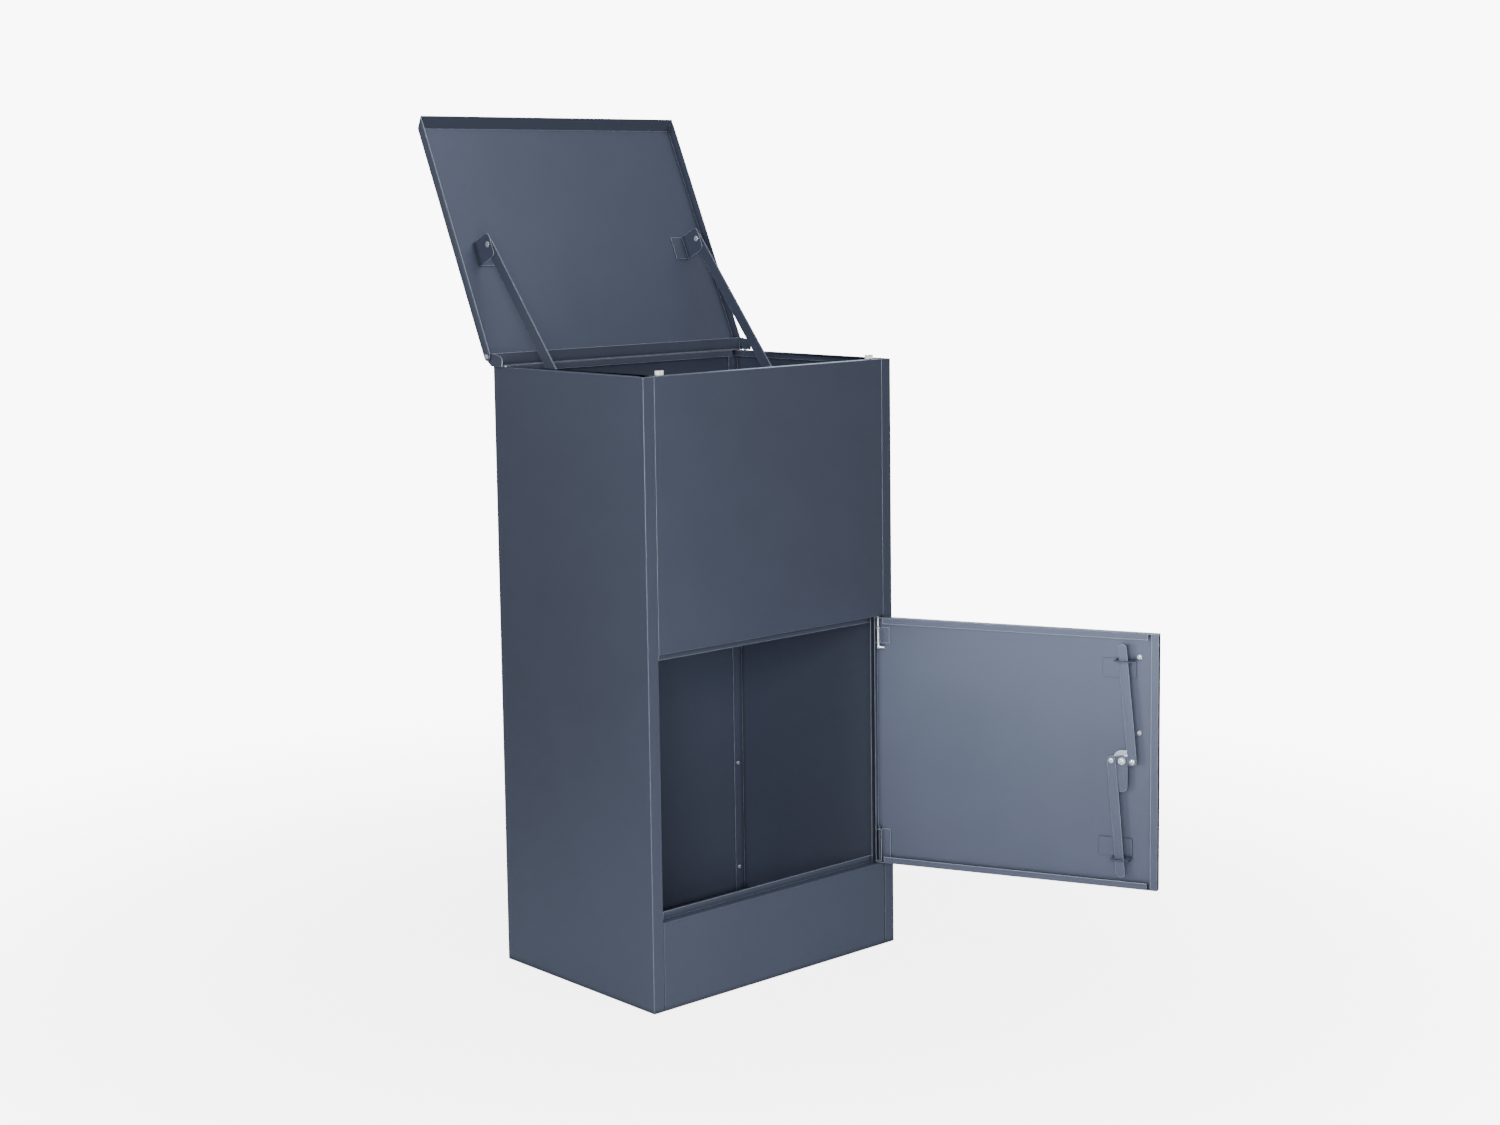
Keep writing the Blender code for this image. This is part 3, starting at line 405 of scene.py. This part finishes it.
@dataclass(frozen=True)
class ZincPlate(Finish):
    """Bright zinc on turned and stamped hardware."""

    light: Colour = (0.90, 0.90, 0.90)

    def build(self, groups: GroupSet) -> bpy.types.Material:
        """Build the material.

        Args:
            groups: The shared node groups.

        Returns:
            The finished material.
        """
        material, shader = self.start()
        links = material.node_tree.links
        cloud = self.group(material, groups.cloud, Dark=(*self.colour, 1.0), Light=(*self.light, 1.0))
        links.new(cloud.outputs["Color"], shader.inputs["Base Color"])
        rough = self.group(material, groups.rough, Base=self.roughness, Spread=0.16)
        links.new(rough.outputs["Roughness"], shader.inputs["Roughness"])
        return material


@dataclass(frozen=True)
class SoftPlastic(Finish):
    """Pale moulded elastomer."""

    def build(self, groups: GroupSet) -> bpy.types.Material:
        """Build the material.

        Args:
            groups: The shared node groups.

        Returns:
            The finished material.
        """
        material, shader = self.start()
        links = material.node_tree.links
        tone = self.group(material, groups.tone, Color=(*self.colour, 1.0), Drift=0.05, Speckle=0.08)
        links.new(tone.outputs["Color"], shader.inputs["Base Color"])
        rough = self.group(material, groups.rough, Base=self.roughness, Spread=0.12)
        links.new(rough.outputs["Roughness"], shader.inputs["Roughness"])
        shader.inputs["Subsurface Weight"].default_value = 0.08
        return material


@dataclass
class Palette:
    """All finishes of the box, built once."""

    groups: GroupSet = field(default_factory=GroupSet)

    def __post_init__(self) -> None:
        """Build one material for each slot, and the coat for parts that lie flush."""
        coat = PowderCoat("powder_coat", (0.086, 0.100, 0.143), 0.42, 0.55)
        zinc = ZincPlate("zinc_plate", (0.72, 0.77, 0.86), 0.25, 0.78, (0.90, 0.94, 1.0))
        soft = SoftPlastic("soft_stop", (0.74, 0.74, 0.73), 0.55)
        core = ZincPlate("lock_core", (0.50, 0.48, 0.42), 0.30, 1.0, (0.72, 0.70, 0.64))
        # Flush coat: a darker edge tone paints shade lines along the edges of plates that lie flat on the
        # door.
        flush = PowderCoat("powder_coat_flush", coat.colour, coat.roughness, coat.metallic,
                           painted_edge_tone=(0.030, 0.036, 0.055), edge=0.70)
        self.flush = flush.build(self.groups)
        self.materials = {
            Slot.POWDER: coat.build(self.groups),
            Slot.ZINC: zinc.build(self.groups),
            Slot.SOFT: soft.build(self.groups),
            Slot.CORE: core.build(self.groups),
        }

    def dress(self, item: bpy.types.Object, slot: Slot) -> bpy.types.Object:
        """Give a piece the finish of its record slot.

        Args:
            item: The piece.
            slot: Its record slot.

        Returns:
            The same piece.
        """
        item.data.materials.clear()
        item.data.materials.append(self.materials[slot])
        return item


# ------------------------------------------------------------------ shape tools

@dataclass(frozen=True)
class FoldRule:
    """How a piece's edges are rounded: fold radii outside and inside, and the cut edges."""

    outer: float = 0.0015
    inner: float = 0.0005
    cut: float = 0.00018
    steps: int = 3
    least_width: float = 0.0022
    least_length: float = 0.0060
    least_angle: float = math.radians(32)
    rim_share: float = 0.3


SAME_POINT = 2e-6
FLAT_ANGLE = math.radians(0.6)
SHARP_FOLD = math.radians(38)
SHARP_TURNED = math.radians(40)
SHEET = FoldRule()
BAR = FoldRule(outer=0.00030, inner=0.00020, cut=0.00030, steps=2)


def face_width(face: bmesh.types.BMFace) -> float:
    """Rough width of a long face."""
    around = sum(edge.calc_length() for edge in face.edges)
    return 2 * face.calc_area() / max(around, 1e-9)


def corner_edges(bm: bmesh.types.BMesh, rule: FoldRule, convex: bool,
                 folds: bool) -> list[bmesh.types.BMEdge]:
    """Find the edges of one sort.

    Args:
        bm: The mesh.
        rule: Limits of width, length and angle.
        convex: True for outer corners, False for hollow ones.
        folds: True for folds of the sheet, False for its cut rims.

    Returns:
        The edges.
    """
    found = []
    shortest = rule.least_length * (1 if folds else rule.rim_share)
    for edge in bm.edges:
        if len(edge.link_faces) != 2 or edge.is_convex != convex:
            continue
        if edge.calc_face_angle(0.0) < rule.least_angle or edge.calc_length() < shortest:
            continue
        wide = min(face_width(face) for face in edge.link_faces) > rule.least_width
        if wide == folds:
            found.append(edge)
    return found


def rounded_mesh(mesh: bpy.types.Mesh, rule: FoldRule) -> bpy.types.Mesh:
    """Copy a mesh with rounded folds and softly broken cut edges.

    Args:
        mesh: The sharp source mesh.
        rule: Radii and limits.

    Returns:
        A new mesh.
    """
    bm = bmesh.new()
    bm.from_mesh(mesh)
    bmesh.ops.remove_doubles(bm, verts=bm.verts, dist=SAME_POINT)
    bmesh.ops.dissolve_limit(bm, angle_limit=FLAT_ANGLE, verts=bm.verts, edges=bm.edges)
    sorts = ((True, True, rule.outer), (False, True, rule.inner), (True, False, rule.cut))
    for convex, folds, width in sorts:
        edges = corner_edges(bm, rule, convex, folds)
        if edges and width > 0:
            bmesh.ops.bevel(bm, geom=edges, offset=width, offset_type="OFFSET",
                            segments=rule.steps if folds else 1, profile=0.5, affect="EDGES",
                            clamp_overlap=True)
    bmesh.ops.connect_verts_concave(bm, faces=bm.faces)
    result = bpy.data.meshes.new(mesh.name)
    bm.to_mesh(result)
    bm.free()
    result.shade_smooth()
    result.set_sharp_from_angle(angle=SHARP_FOLD)
    return result


@dataclass
class Workshop:
    """Makes pieces on the frame: rounded copies of CAD nodes and new turned parts."""

    frame: dict
    palette: Palette
    made: list[str] = field(default_factory=list)

    def node(self, name: str) -> bpy.types.Object:
        """The CAD node of that name."""
        return self.frame["nodes"][name]

    def body(self, name: str) -> str:
        """The body that a CAD node belongs to."""
        return self.node(name)["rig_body"]

    def join(self, name: str, mesh: bpy.types.Mesh, slot: Slot, body: str,
             *stands_for: str) -> bpy.types.Object:
        """Place a finished mesh as a piece.

        Args:
            name: Name of the piece.
            mesh: Its mesh, in the row frame.
            slot: Its record slot.
            body: The body it moves with.
            stands_for: CAD nodes that it replaces.

        Returns:
            The new object.
        """
        item = bpy.data.objects.new(name, mesh)
        bpy.context.scene.collection.objects.link(item)
        self.palette.dress(item, slot)
        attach(item, body)
        if stands_for:
            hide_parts(*stands_for)
        self.made.append(name)
        return item

    def rounded(self, node: str, rule: FoldRule, slot: Slot = Slot.POWDER,
                flush: bool = False) -> bpy.types.Object:
        """Stand a rounded copy in for a CAD node.

        Args:
            node: The CAD node.
            rule: How its edges are rounded.
            slot: Its record slot.
            flush: True for a plate that lies flat on another, with painted shade lines along its edges in
                place of the painted highlight.

        Returns:
            The new object.
        """
        mesh = rounded_mesh(self.node(node).data, rule)
        item = self.join(f"{node}_formed", mesh, slot, self.body(node), node)
        if flush:
            item.data.materials[0] = self.palette.flush
            item.data.shade_flat()
            return item
        weighted = item.modifiers.new("even_shading", "WEIGHTED_NORMAL")
        weighted.keep_sharp = True
        return item

    def turned(self, name: str, profile: list[tuple[float, float]], place: Matrix, slot: Slot, body: str,
               *stands_for: str, steps: int = 32) -> bpy.types.Object:
        """Make a round part by turning a profile about +Z of its place.

        Args:
            name: Name of the piece.
            profile: Radius and height pairs from the axis to the axis.
            place: Matrix from the part's own space to the row frame.
            slot: Its record slot.
            body: The body it moves with.
            stands_for: CAD nodes that it replaces.
            steps: Number of sides.

        Returns:
            The new object.
        """
        mesh = turned_mesh(name, profile, steps)
        mesh.transform(place)
        return self.join(name, mesh, slot, body, *stands_for)


def turned_mesh(name: str, profile: list[tuple[float, float]], steps: int) -> bpy.types.Mesh:
    """Turn a profile about +Z.

    Args:
        name: Name of the mesh.
        profile: Radius and height pairs from the axis to the axis.
        steps: Number of sides.

    Returns:
        The mesh.
    """
    bm = bmesh.new()
    line = [bm.verts.new((radius, 0.0, height)) for radius, height in profile]
    edges = [bm.edges.new(pair) for pair in zip(line, line[1:])]
    bmesh.ops.spin(bm, geom=line + edges, axis=(0, 0, 1), cent=(0, 0, 0), steps=steps, angle=2 * math.pi,
                   use_duplicate=False)
    bmesh.ops.remove_doubles(bm, verts=bm.verts, dist=1e-6)
    bmesh.ops.recalc_face_normals(bm, faces=bm.faces)
    mesh = bpy.data.meshes.new(name)
    bm.to_mesh(mesh)
    bm.free()
    mesh.shade_smooth()
    mesh.set_sharp_from_angle(angle=SHARP_TURNED)
    return mesh


def dome(radius: float, height: float, steps: int = 7) -> list[tuple[float, float]]:
    """Draw the profile of a domed head that stands on a flat.

    Args:
        radius: Radius of the head.
        height: Its height.
        steps: Number of steps from the top to the rim.

    Returns:
        Radius and height pairs, from the axis outwards and back along the base.
    """
    turns = [math.pi / 2 * i / steps for i in range(steps + 1)]
    points = [(radius * math.sin(turn), height * math.cos(turn)) for turn in turns]
    points[0] = (0.0, height)
    return points + [(0.0, 0.0)]


def cross_recess(radius: float, depth: float, top: float) -> bpy.types.Mesh:
    """Make the cutter for a cross drive.

    Args:
        radius: Reach of each wing.
        depth: Depth of the recess.
        top: Height of the head's top.

    Returns:
        The cutter's mesh.
    """
    wing = 0.30 * radius
    bm = bmesh.new()
    for turn in (0.0, math.pi / 2):
        made = bmesh.ops.create_cube(bm, size=1.0)
        matrix = (Matrix.Translation((0, 0, top)) @ Matrix.Rotation(turn, 4, "Z")
                  @ Matrix.Diagonal((2 * radius, wing, 2 * depth, 1.0)))
        bmesh.ops.transform(bm, matrix=matrix, verts=made["verts"])
    mesh = bpy.data.meshes.new("recess")
    bm.to_mesh(mesh)
    bm.free()
    return mesh


def carve(item: bpy.types.Object, cutter: bpy.types.Mesh, place: Matrix) -> None:
    """Cut a shape out of a piece for good.

    Args:
        item: The piece.
        cutter: Mesh of the cutter.
        place: Where the cutter goes.
    """
    tool = bpy.data.objects.new("cutter", cutter)
    cutter.transform(place)
    bpy.context.scene.collection.objects.link(tool)
    boolean = item.modifiers.new("cut", "BOOLEAN")
    boolean.operation = "DIFFERENCE"
    boolean.solver = "EXACT"
    boolean.use_self = True
    boolean.object = tool
    graph = bpy.context.evaluated_depsgraph_get()
    mesh = bpy.data.meshes.new_from_object(item.evaluated_get(graph))
    item.modifiers.clear()
    item.data = mesh
    bpy.data.objects.remove(tool, do_unlink=True)


def towards(point: Vector, direction: Vector) -> Matrix:
    """Matrix that puts +Z along a direction at a point."""
    return Matrix.Translation(point) @ direction.to_track_quat("Z", "Y").to_matrix().to_4x4()


# ------------------------------------------------------------------ sub-assemblies

@dataclass
class Fastener:
    """Domed head with a cross recess or plain, standing on a surface."""

    radius: float
    height: float
    recess: float = 0.0

    def place(self, shop: Workshop, name: str, at: Vector, outward: Vector, body: str, *stands_for: str,
              slot: Slot = Slot.ZINC) -> bpy.types.Object:
        """Stand the head on a surface.

        Args:
            shop: The workshop that makes pieces.
            name: Name of the piece.
            at: Point on the surface, under the head's middle.
            outward: Direction away from the surface.
            body: Body it moves with.
            stands_for: CAD nodes it replaces.
            slot: Record slot.

        Returns:
            The new object.
        """
        matrix = towards(at, outward)
        item = shop.turned(name, dome(self.radius, self.height), matrix, slot, body, *stands_for)
        if self.recess > 0:
            cutter = cross_recess(self.recess, self.height * 0.55, self.height)
            carve(item, cutter, matrix)
            item.data.set_sharp_from_angle(angle=SHARP_TURNED)
            shop.palette.dress(item, slot)
        return item


@dataclass
class Cabinet:
    """Fixed body: folded panels, hinge rail, inner chute and its screws."""

    shop: Workshop
    panels: tuple[str, ...] = ("left_side_panel", "right_side_panel", "back_panel", "upper_front_panel",
                               "kick_panel", "floor_panel", "hinge_rail", "rear_chute")
    screw: Fastener = field(default_factory=lambda: Fastener(0.0034, 0.0021, 0.0019))
    rail_screw: Fastener = field(default_factory=lambda: Fastener(0.0030, 0.0018, 0.0016))
    rail_screw_places: tuple[tuple[float, float], ...] = ((0.0100, 0.0040), (0.0144, 0.0120))
    head_depth: float = 0.0020

    def build(self) -> None:
        """Make every fixed piece."""
        for panel in self.panels:
            self.shop.rounded(panel, SHEET)
        self.screws()
        for side in SIDES:
            self.shop.rounded(f"lid_bumper_{side}", FoldRule(0.0008, 0.0, 0.0008, 2), Slot.SOFT)
        self.shop.rounded("flap_shaft", BAR, Slot.ZINC)

    def screws(self) -> None:
        """Corner screws and the rail's small screws."""
        for side in SIDES:
            for number in range(1, 6):
                node = f"corner_screw_{side}_{number}"
                low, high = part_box(node)
                middle = (low + high) / 2
                seat = Vector((middle.x, low.y + self.head_depth, middle.z))
                self.screw.place(self.shop, f"{node}_head", seat, Vector((0, -1, 0)), "base")
        low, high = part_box("hinge_rail")
        for side, sign in (("left", -1), ("right", 1)):
            for number, (inset, back) in enumerate(self.rail_screw_places, 1):
                at = Vector((sign * (high.x - inset), low.y + back, low.z))
                self.rail_screw.place(self.shop, f"rail_screw_{side}_{number}", at, Vector((0, 0, 1)), "base")


@dataclass
class Lid:
    """Drop lid with its brackets, arms and rivets, and the inner flap that it carries round."""

    shop: Workshop

    def build(self) -> None:
        """Make the lid, its linkage and the inner flap."""
        self.shop.rounded("lid_pan", SHEET)
        self.shop.rounded("drop_flap", SHEET)
        for side in SIDES:
            self.shop.rounded(f"lid_bracket_{side}", FoldRule(0.0012, 0.0004, 0.00025, 3))
            self.shop.rounded(f"lid_arm_{side}", BAR)
            for node in (f"lid_arm_rivet_{side}", f"flap_pivot_{side}", f"lid_hinge_rivet_{side}"):
                self.shop.rounded(node, FoldRule(0.0006, 0.0, 0.0006, 2), Slot.ZINC)


@dataclass
class Door:
    """Door leaf with hinges, guides, pull and lock gear."""

    shop: Workshop

    def __post_init__(self) -> None:
        """Find the direction that the inside of the open door faces."""
        hinge = next(joint for joint in self.shop.frame["joints"] if joint["name"] == "door_hinge")
        angle = math.radians(hinge["range_deg"][1])
        self.inward = Vector((-math.sin(angle), math.cos(angle), 0.0))

    def build(self) -> None:
        """Make every piece that swings with the door."""
        self.shop.rounded("door_pan", SHEET)
        for node in ("door_bracket_top", "door_bracket_bottom"):
            self.shop.rounded(node, FoldRule(0.0010, 0.0003, 0.00020, 3))
        for node in ("upper_rod_guide", "lower_rod_guide"):
            self.shop.rounded(node, FoldRule(0.00025, 0.0, 0.00015, 2), flush=True)
        for node in ("cam_plate", "upper_rod", "lower_rod"):
            self.shop.rounded(node, BAR)
        self.shop.rounded("hinge_pin_bottom", FoldRule(0.0003, 0.0, 0.0002, 2))
        for node in ("hinge_pin_top", "stop_washer", "lock_nut", "lock_cylinder"):
            self.shop.rounded(node, FoldRule(0.0003, 0.0, 0.0002, 2), Slot.ZINC)
        self.shop.rounded("pull_handle", FoldRule(0.0006, 0.0, 0.0006, 2), Slot.ZINC)
        self.shop.rounded("lock_plug", FoldRule(0.0002, 0.0, 0.0002, 1), Slot.CORE)
        self.heads()

    def heads(self) -> None:
        """Rivet and screw heads of the lock gear and the pull."""
        sizes = {
            "cam_rivet_upper": Fastener(0.0044, 0.0017), "cam_rivet_lower": Fastener(0.0044, 0.0017),
            "cam_screw": Fastener(0.0062, 0.0027, 0.0034),
            "handle_screw_top": Fastener(0.0036, 0.0024, 0.0020),
            "handle_screw_bottom": Fastener(0.0036, 0.0024, 0.0020),
        }
        flush = {"cam_screw": 0.0024, "handle_screw_top": 0.0022, "handle_screw_bottom": 0.0022}
        for node, head in sizes.items():
            vertices = [vertex.co.copy() for vertex in self.shop.node(node).data.vertices]
            top = max(point.dot(self.inward) for point in vertices)
            middle = sum(vertices, Vector()) / len(vertices)
            seat = middle + self.inward * (top - flush.get(node, 0.0014) - middle.dot(self.inward))
            head.place(self.shop, f"{node}_head", seat, self.inward, self.shop.body(node))


# ------------------------------------------------------------------ studio

@dataclass
class Studio:
    """Plain pale floor, soft light and the camera."""

    pale: float = 0.90
    backdrop: float = 9.0
    azimuth: float = -41.858
    elevation: float = 6.633
    roll: float = -0.764
    position: tuple[float, float, float] = (-2.5258, -2.9551, 1.2673)
    lens: float = 56.51
    rise: float = -0.060

    def build(self) -> None:
        """Make the floor, the world, the lights and the camera."""
        self.floor()
        self.world()
        self.lights()
        self.camera()

    def floor(self) -> None:
        """Round pale floor that fades into the backdrop tone, with a painted contact shadow round the box."""
        bm = bmesh.new()
        bmesh.ops.create_circle(bm, cap_ends=True, segments=96, radius=14.0)
        mesh = bpy.data.meshes.new("studio_floor")
        bm.to_mesh(mesh)
        bm.free()
        item = bpy.data.objects.new("studio_floor", mesh)
        item.location.z = -0.0004
        bpy.context.scene.collection.objects.link(item)
        material = bpy.data.materials.new("studio_floor")
        material.use_nodes = True
        tree = material.node_tree
        shader = tree.nodes["Principled BSDF"]
        shader.inputs["Base Color"].default_value = (self.pale, self.pale, self.pale, 1.0)
        shader.inputs["Roughness"].default_value = 0.8
        shader.inputs["Specular IOR Level"].default_value = 0.1
        glow = add_node(tree, "ShaderNodeEmission", Color=(1, 1, 1, 1))
        path = add_node(tree, "ShaderNodeLightPath")
        lift = add_node(tree, "ShaderNodeMath", operation="MULTIPLY")
        lift.inputs[1].default_value = self.backdrop
        tree.links.new(path.outputs["Is Camera Ray"], lift.inputs[0])
        tree.links.new(lift.outputs[0], glow.inputs["Strength"])
        place = add_node(tree, "ShaderNodeTexCoord")
        length = add_node(tree, "ShaderNodeVectorMath", operation="LENGTH")
        tree.links.new(place.outputs["Object"], length.inputs[0])
        fade = add_node(tree, "ShaderNodeMapRange")
        fade.interpolation_type = "SMOOTHSTEP"
        fade.inputs["From Min"].default_value = 0.4
        fade.inputs["From Max"].default_value = 2.4
        fade.inputs["To Min"].default_value = 0.55
        tree.links.new(length.outputs["Value"], fade.inputs["Value"])
        # Painted contact shadow: short-range ambient occlusion takes the camera-only glow away under and near
        # the box, so the floor darkens there.
        floor_occlusion = add_node(tree, "ShaderNodeAmbientOcclusion", Distance=0.06)
        painted_contact_shadow = add_node(tree, "ShaderNodeMapRange")
        painted_contact_shadow.inputs["From Max"].default_value = 0.55
        tree.links.new(floor_occlusion.outputs["AO"], painted_contact_shadow.inputs["Value"])
        share = add_node(tree, "ShaderNodeMath", operation="MULTIPLY")
        tree.links.new(fade.outputs["Result"], share.inputs[0])
        tree.links.new(painted_contact_shadow.outputs["Result"], share.inputs[1])
        mix = add_node(tree, "ShaderNodeMixShader")
        tree.links.new(share.outputs[0], mix.inputs[0])
        tree.links.new(shader.outputs[0], mix.inputs[1])
        tree.links.new(glow.outputs[0], mix.inputs[2])
        tree.links.new(mix.outputs[0], tree.nodes["Material Output"].inputs["Surface"])
        mesh.materials.append(material)

    def world(self) -> None:
        """Pale backdrop for the camera and a softer surround for the light."""
        world = bpy.data.worlds.new("studio")
        world.use_nodes = True
        bpy.context.scene.world = world
        tree = world.node_tree
        tree.nodes.clear()
        seen = add_node(tree, "ShaderNodeBackground", Color=(1, 1, 1, 1), Strength=self.backdrop)
        surround = add_node(tree, "ShaderNodeBackground", Color=(0.93, 0.96, 1.0, 1), Strength=0.60)
        place = add_node(tree, "ShaderNodeTexCoord")
        toward = add_node(tree, "ShaderNodeVectorMath", operation="DOT_PRODUCT")
        toward.inputs[1].default_value = Vector((0.62, 0.78, 0.10)).normalized()
        tree.links.new(place.outputs["Generated"], toward.inputs[0])
        glow = add_node(tree, "ShaderNodeMapRange")
        glow.interpolation_type = "SMOOTHSTEP"
        for socket, value in (("From Min", 0.78), ("From Max", 0.97), ("To Min", 0.58), ("To Max", 3.2)):
            glow.inputs[socket].default_value = value
        tree.links.new(toward.outputs["Value"], glow.inputs["Value"])
        aside = add_node(tree, "ShaderNodeVectorMath", operation="DOT_PRODUCT")
        aside.inputs[1].default_value = Vector((0.95, -0.30, 0.0)).normalized()
        tree.links.new(place.outputs["Generated"], aside.inputs[0])
        flag = add_node(tree, "ShaderNodeMapRange")
        flag.interpolation_type = "SMOOTHSTEP"
        for socket, value in (("From Min", 0.60), ("From Max", 0.95), ("To Min", 1.0), ("To Max", 0.08)):
            flag.inputs[socket].default_value = value
        tree.links.new(aside.outputs["Value"], flag.inputs["Value"])
        level = add_node(tree, "ShaderNodeMath", operation="MULTIPLY")
        tree.links.new(glow.outputs["Result"], level.inputs[0])
        tree.links.new(flag.outputs["Result"], level.inputs[1])
        tree.links.new(level.outputs[0], surround.inputs["Strength"])
        path = add_node(tree, "ShaderNodeLightPath")
        mix = add_node(tree, "ShaderNodeMixShader")
        out = add_node(tree, "ShaderNodeOutputWorld")
        tree.links.new(path.outputs["Is Camera Ray"], mix.inputs[0])
        tree.links.new(surround.outputs[0], mix.inputs[1])
        tree.links.new(seen.outputs[0], mix.inputs[2])
        tree.links.new(mix.outputs[0], out.inputs["Surface"])

    def lights(self) -> None:
        """Soft panels at the front, far left, low front and top, and the lamp for the door."""
        target = Vector((0.0, 0.0, 0.6))
        plan = {
            "front_key": (Vector((-3.0, -3.4, 1.7)), 1.2, 180.0),
            "left_panel": (Vector((-4.6, -0.8, 1.3)), 1.2, 38.0),
            "low_fill": (Vector((-0.95, -1.3, 0.6)), 0.5, 15.0),
            "top_panel": (Vector((0.2, -0.8, 3.2)), 1.4, 21.0),
        }
        for name, (place, size, power) in plan.items():
            light = bpy.data.lights.new(name, "AREA")
            light.shape = "SQUARE"
            light.size = size
            light.energy = power
            lamp = bpy.data.objects.new(name, light)
            lamp.location = place
            lamp.visible_camera = False
            lamp.rotation_mode = "QUATERNION"
            lamp.rotation_quaternion = (target - place).to_track_quat("-Z", "Y")
            bpy.context.scene.collection.objects.link(lamp)
        self.door_spot()

    def door_spot(self) -> None:
        """Narrow low lamp that rakes the inside of the open door."""
        place = Vector((-1.70, -0.62, 0.62))
        light = bpy.data.lights.new("door_spot", "SPOT")
        light.energy = 30.0
        light.spot_size = math.radians(19.0)
        light.spot_blend = 0.6
        light.shadow_soft_size = 0.05
        lamp = bpy.data.objects.new("door_spot", light)
        lamp.location = place
        lamp.visible_camera = False
        lamp.rotation_mode = "QUATERNION"
        lamp.rotation_quaternion = (Vector((0.36, -0.42, 0.35)) - place).to_track_quat("-Z", "Y")
        bpy.context.scene.collection.objects.link(lamp)

    def camera(self) -> None:
        """Camera at standing height in front of the left corner."""
        data = bpy.data.cameras.new("camera")
        data.lens = self.lens
        data.sensor_width = 36.0
        data.shift_y = self.rise
        camera = bpy.data.objects.new("camera", data)
        bpy.context.scene.collection.objects.link(camera)
        azimuth, elevation, roll = (math.radians(a) for a in (self.azimuth, self.elevation, self.roll))
        back = Vector((math.sin(azimuth) * math.cos(elevation), -math.cos(azimuth) * math.cos(elevation),
                       math.sin(elevation)))
        right = Vector((0, 0, 1)).cross(back).normalized()
        up = back.cross(right)
        turned_right = right * math.cos(roll) + up * math.sin(roll)
        turned_up = up * math.cos(roll) - right * math.sin(roll)
        basis = Matrix((turned_right, turned_up, back)).transposed().to_4x4()
        camera.matrix_world = Matrix.Translation(self.position) @ basis
        bpy.context.scene.camera = camera


def main() -> None:
    logging.basicConfig(level=logging.INFO, format="%(message)s")
    for item in list(bpy.data.objects):
        bpy.data.objects.remove(item, do_unlink=True)
    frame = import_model()
    shop = Workshop(frame, Palette())
    for part in (Cabinet(shop), Lid(shop), Door(shop)):
        before = len(shop.made)
        part.build()
        LOG.info("%s: %d pieces", type(part).__name__, len(shop.made) - before)
    for name, node in frame["nodes"].items():
        if not node.hide_render:
            shop.palette.dress(node, Slot(node_slot(frame, name)))
    Studio().build()


def node_slot(frame: dict, name: str) -> str:
    """Record slot of a CAD node."""
    return next(row["material_slot"] for row in frame["record"]["subparts"] if row["node"] == name)


if __name__ == "__main__":
    main()
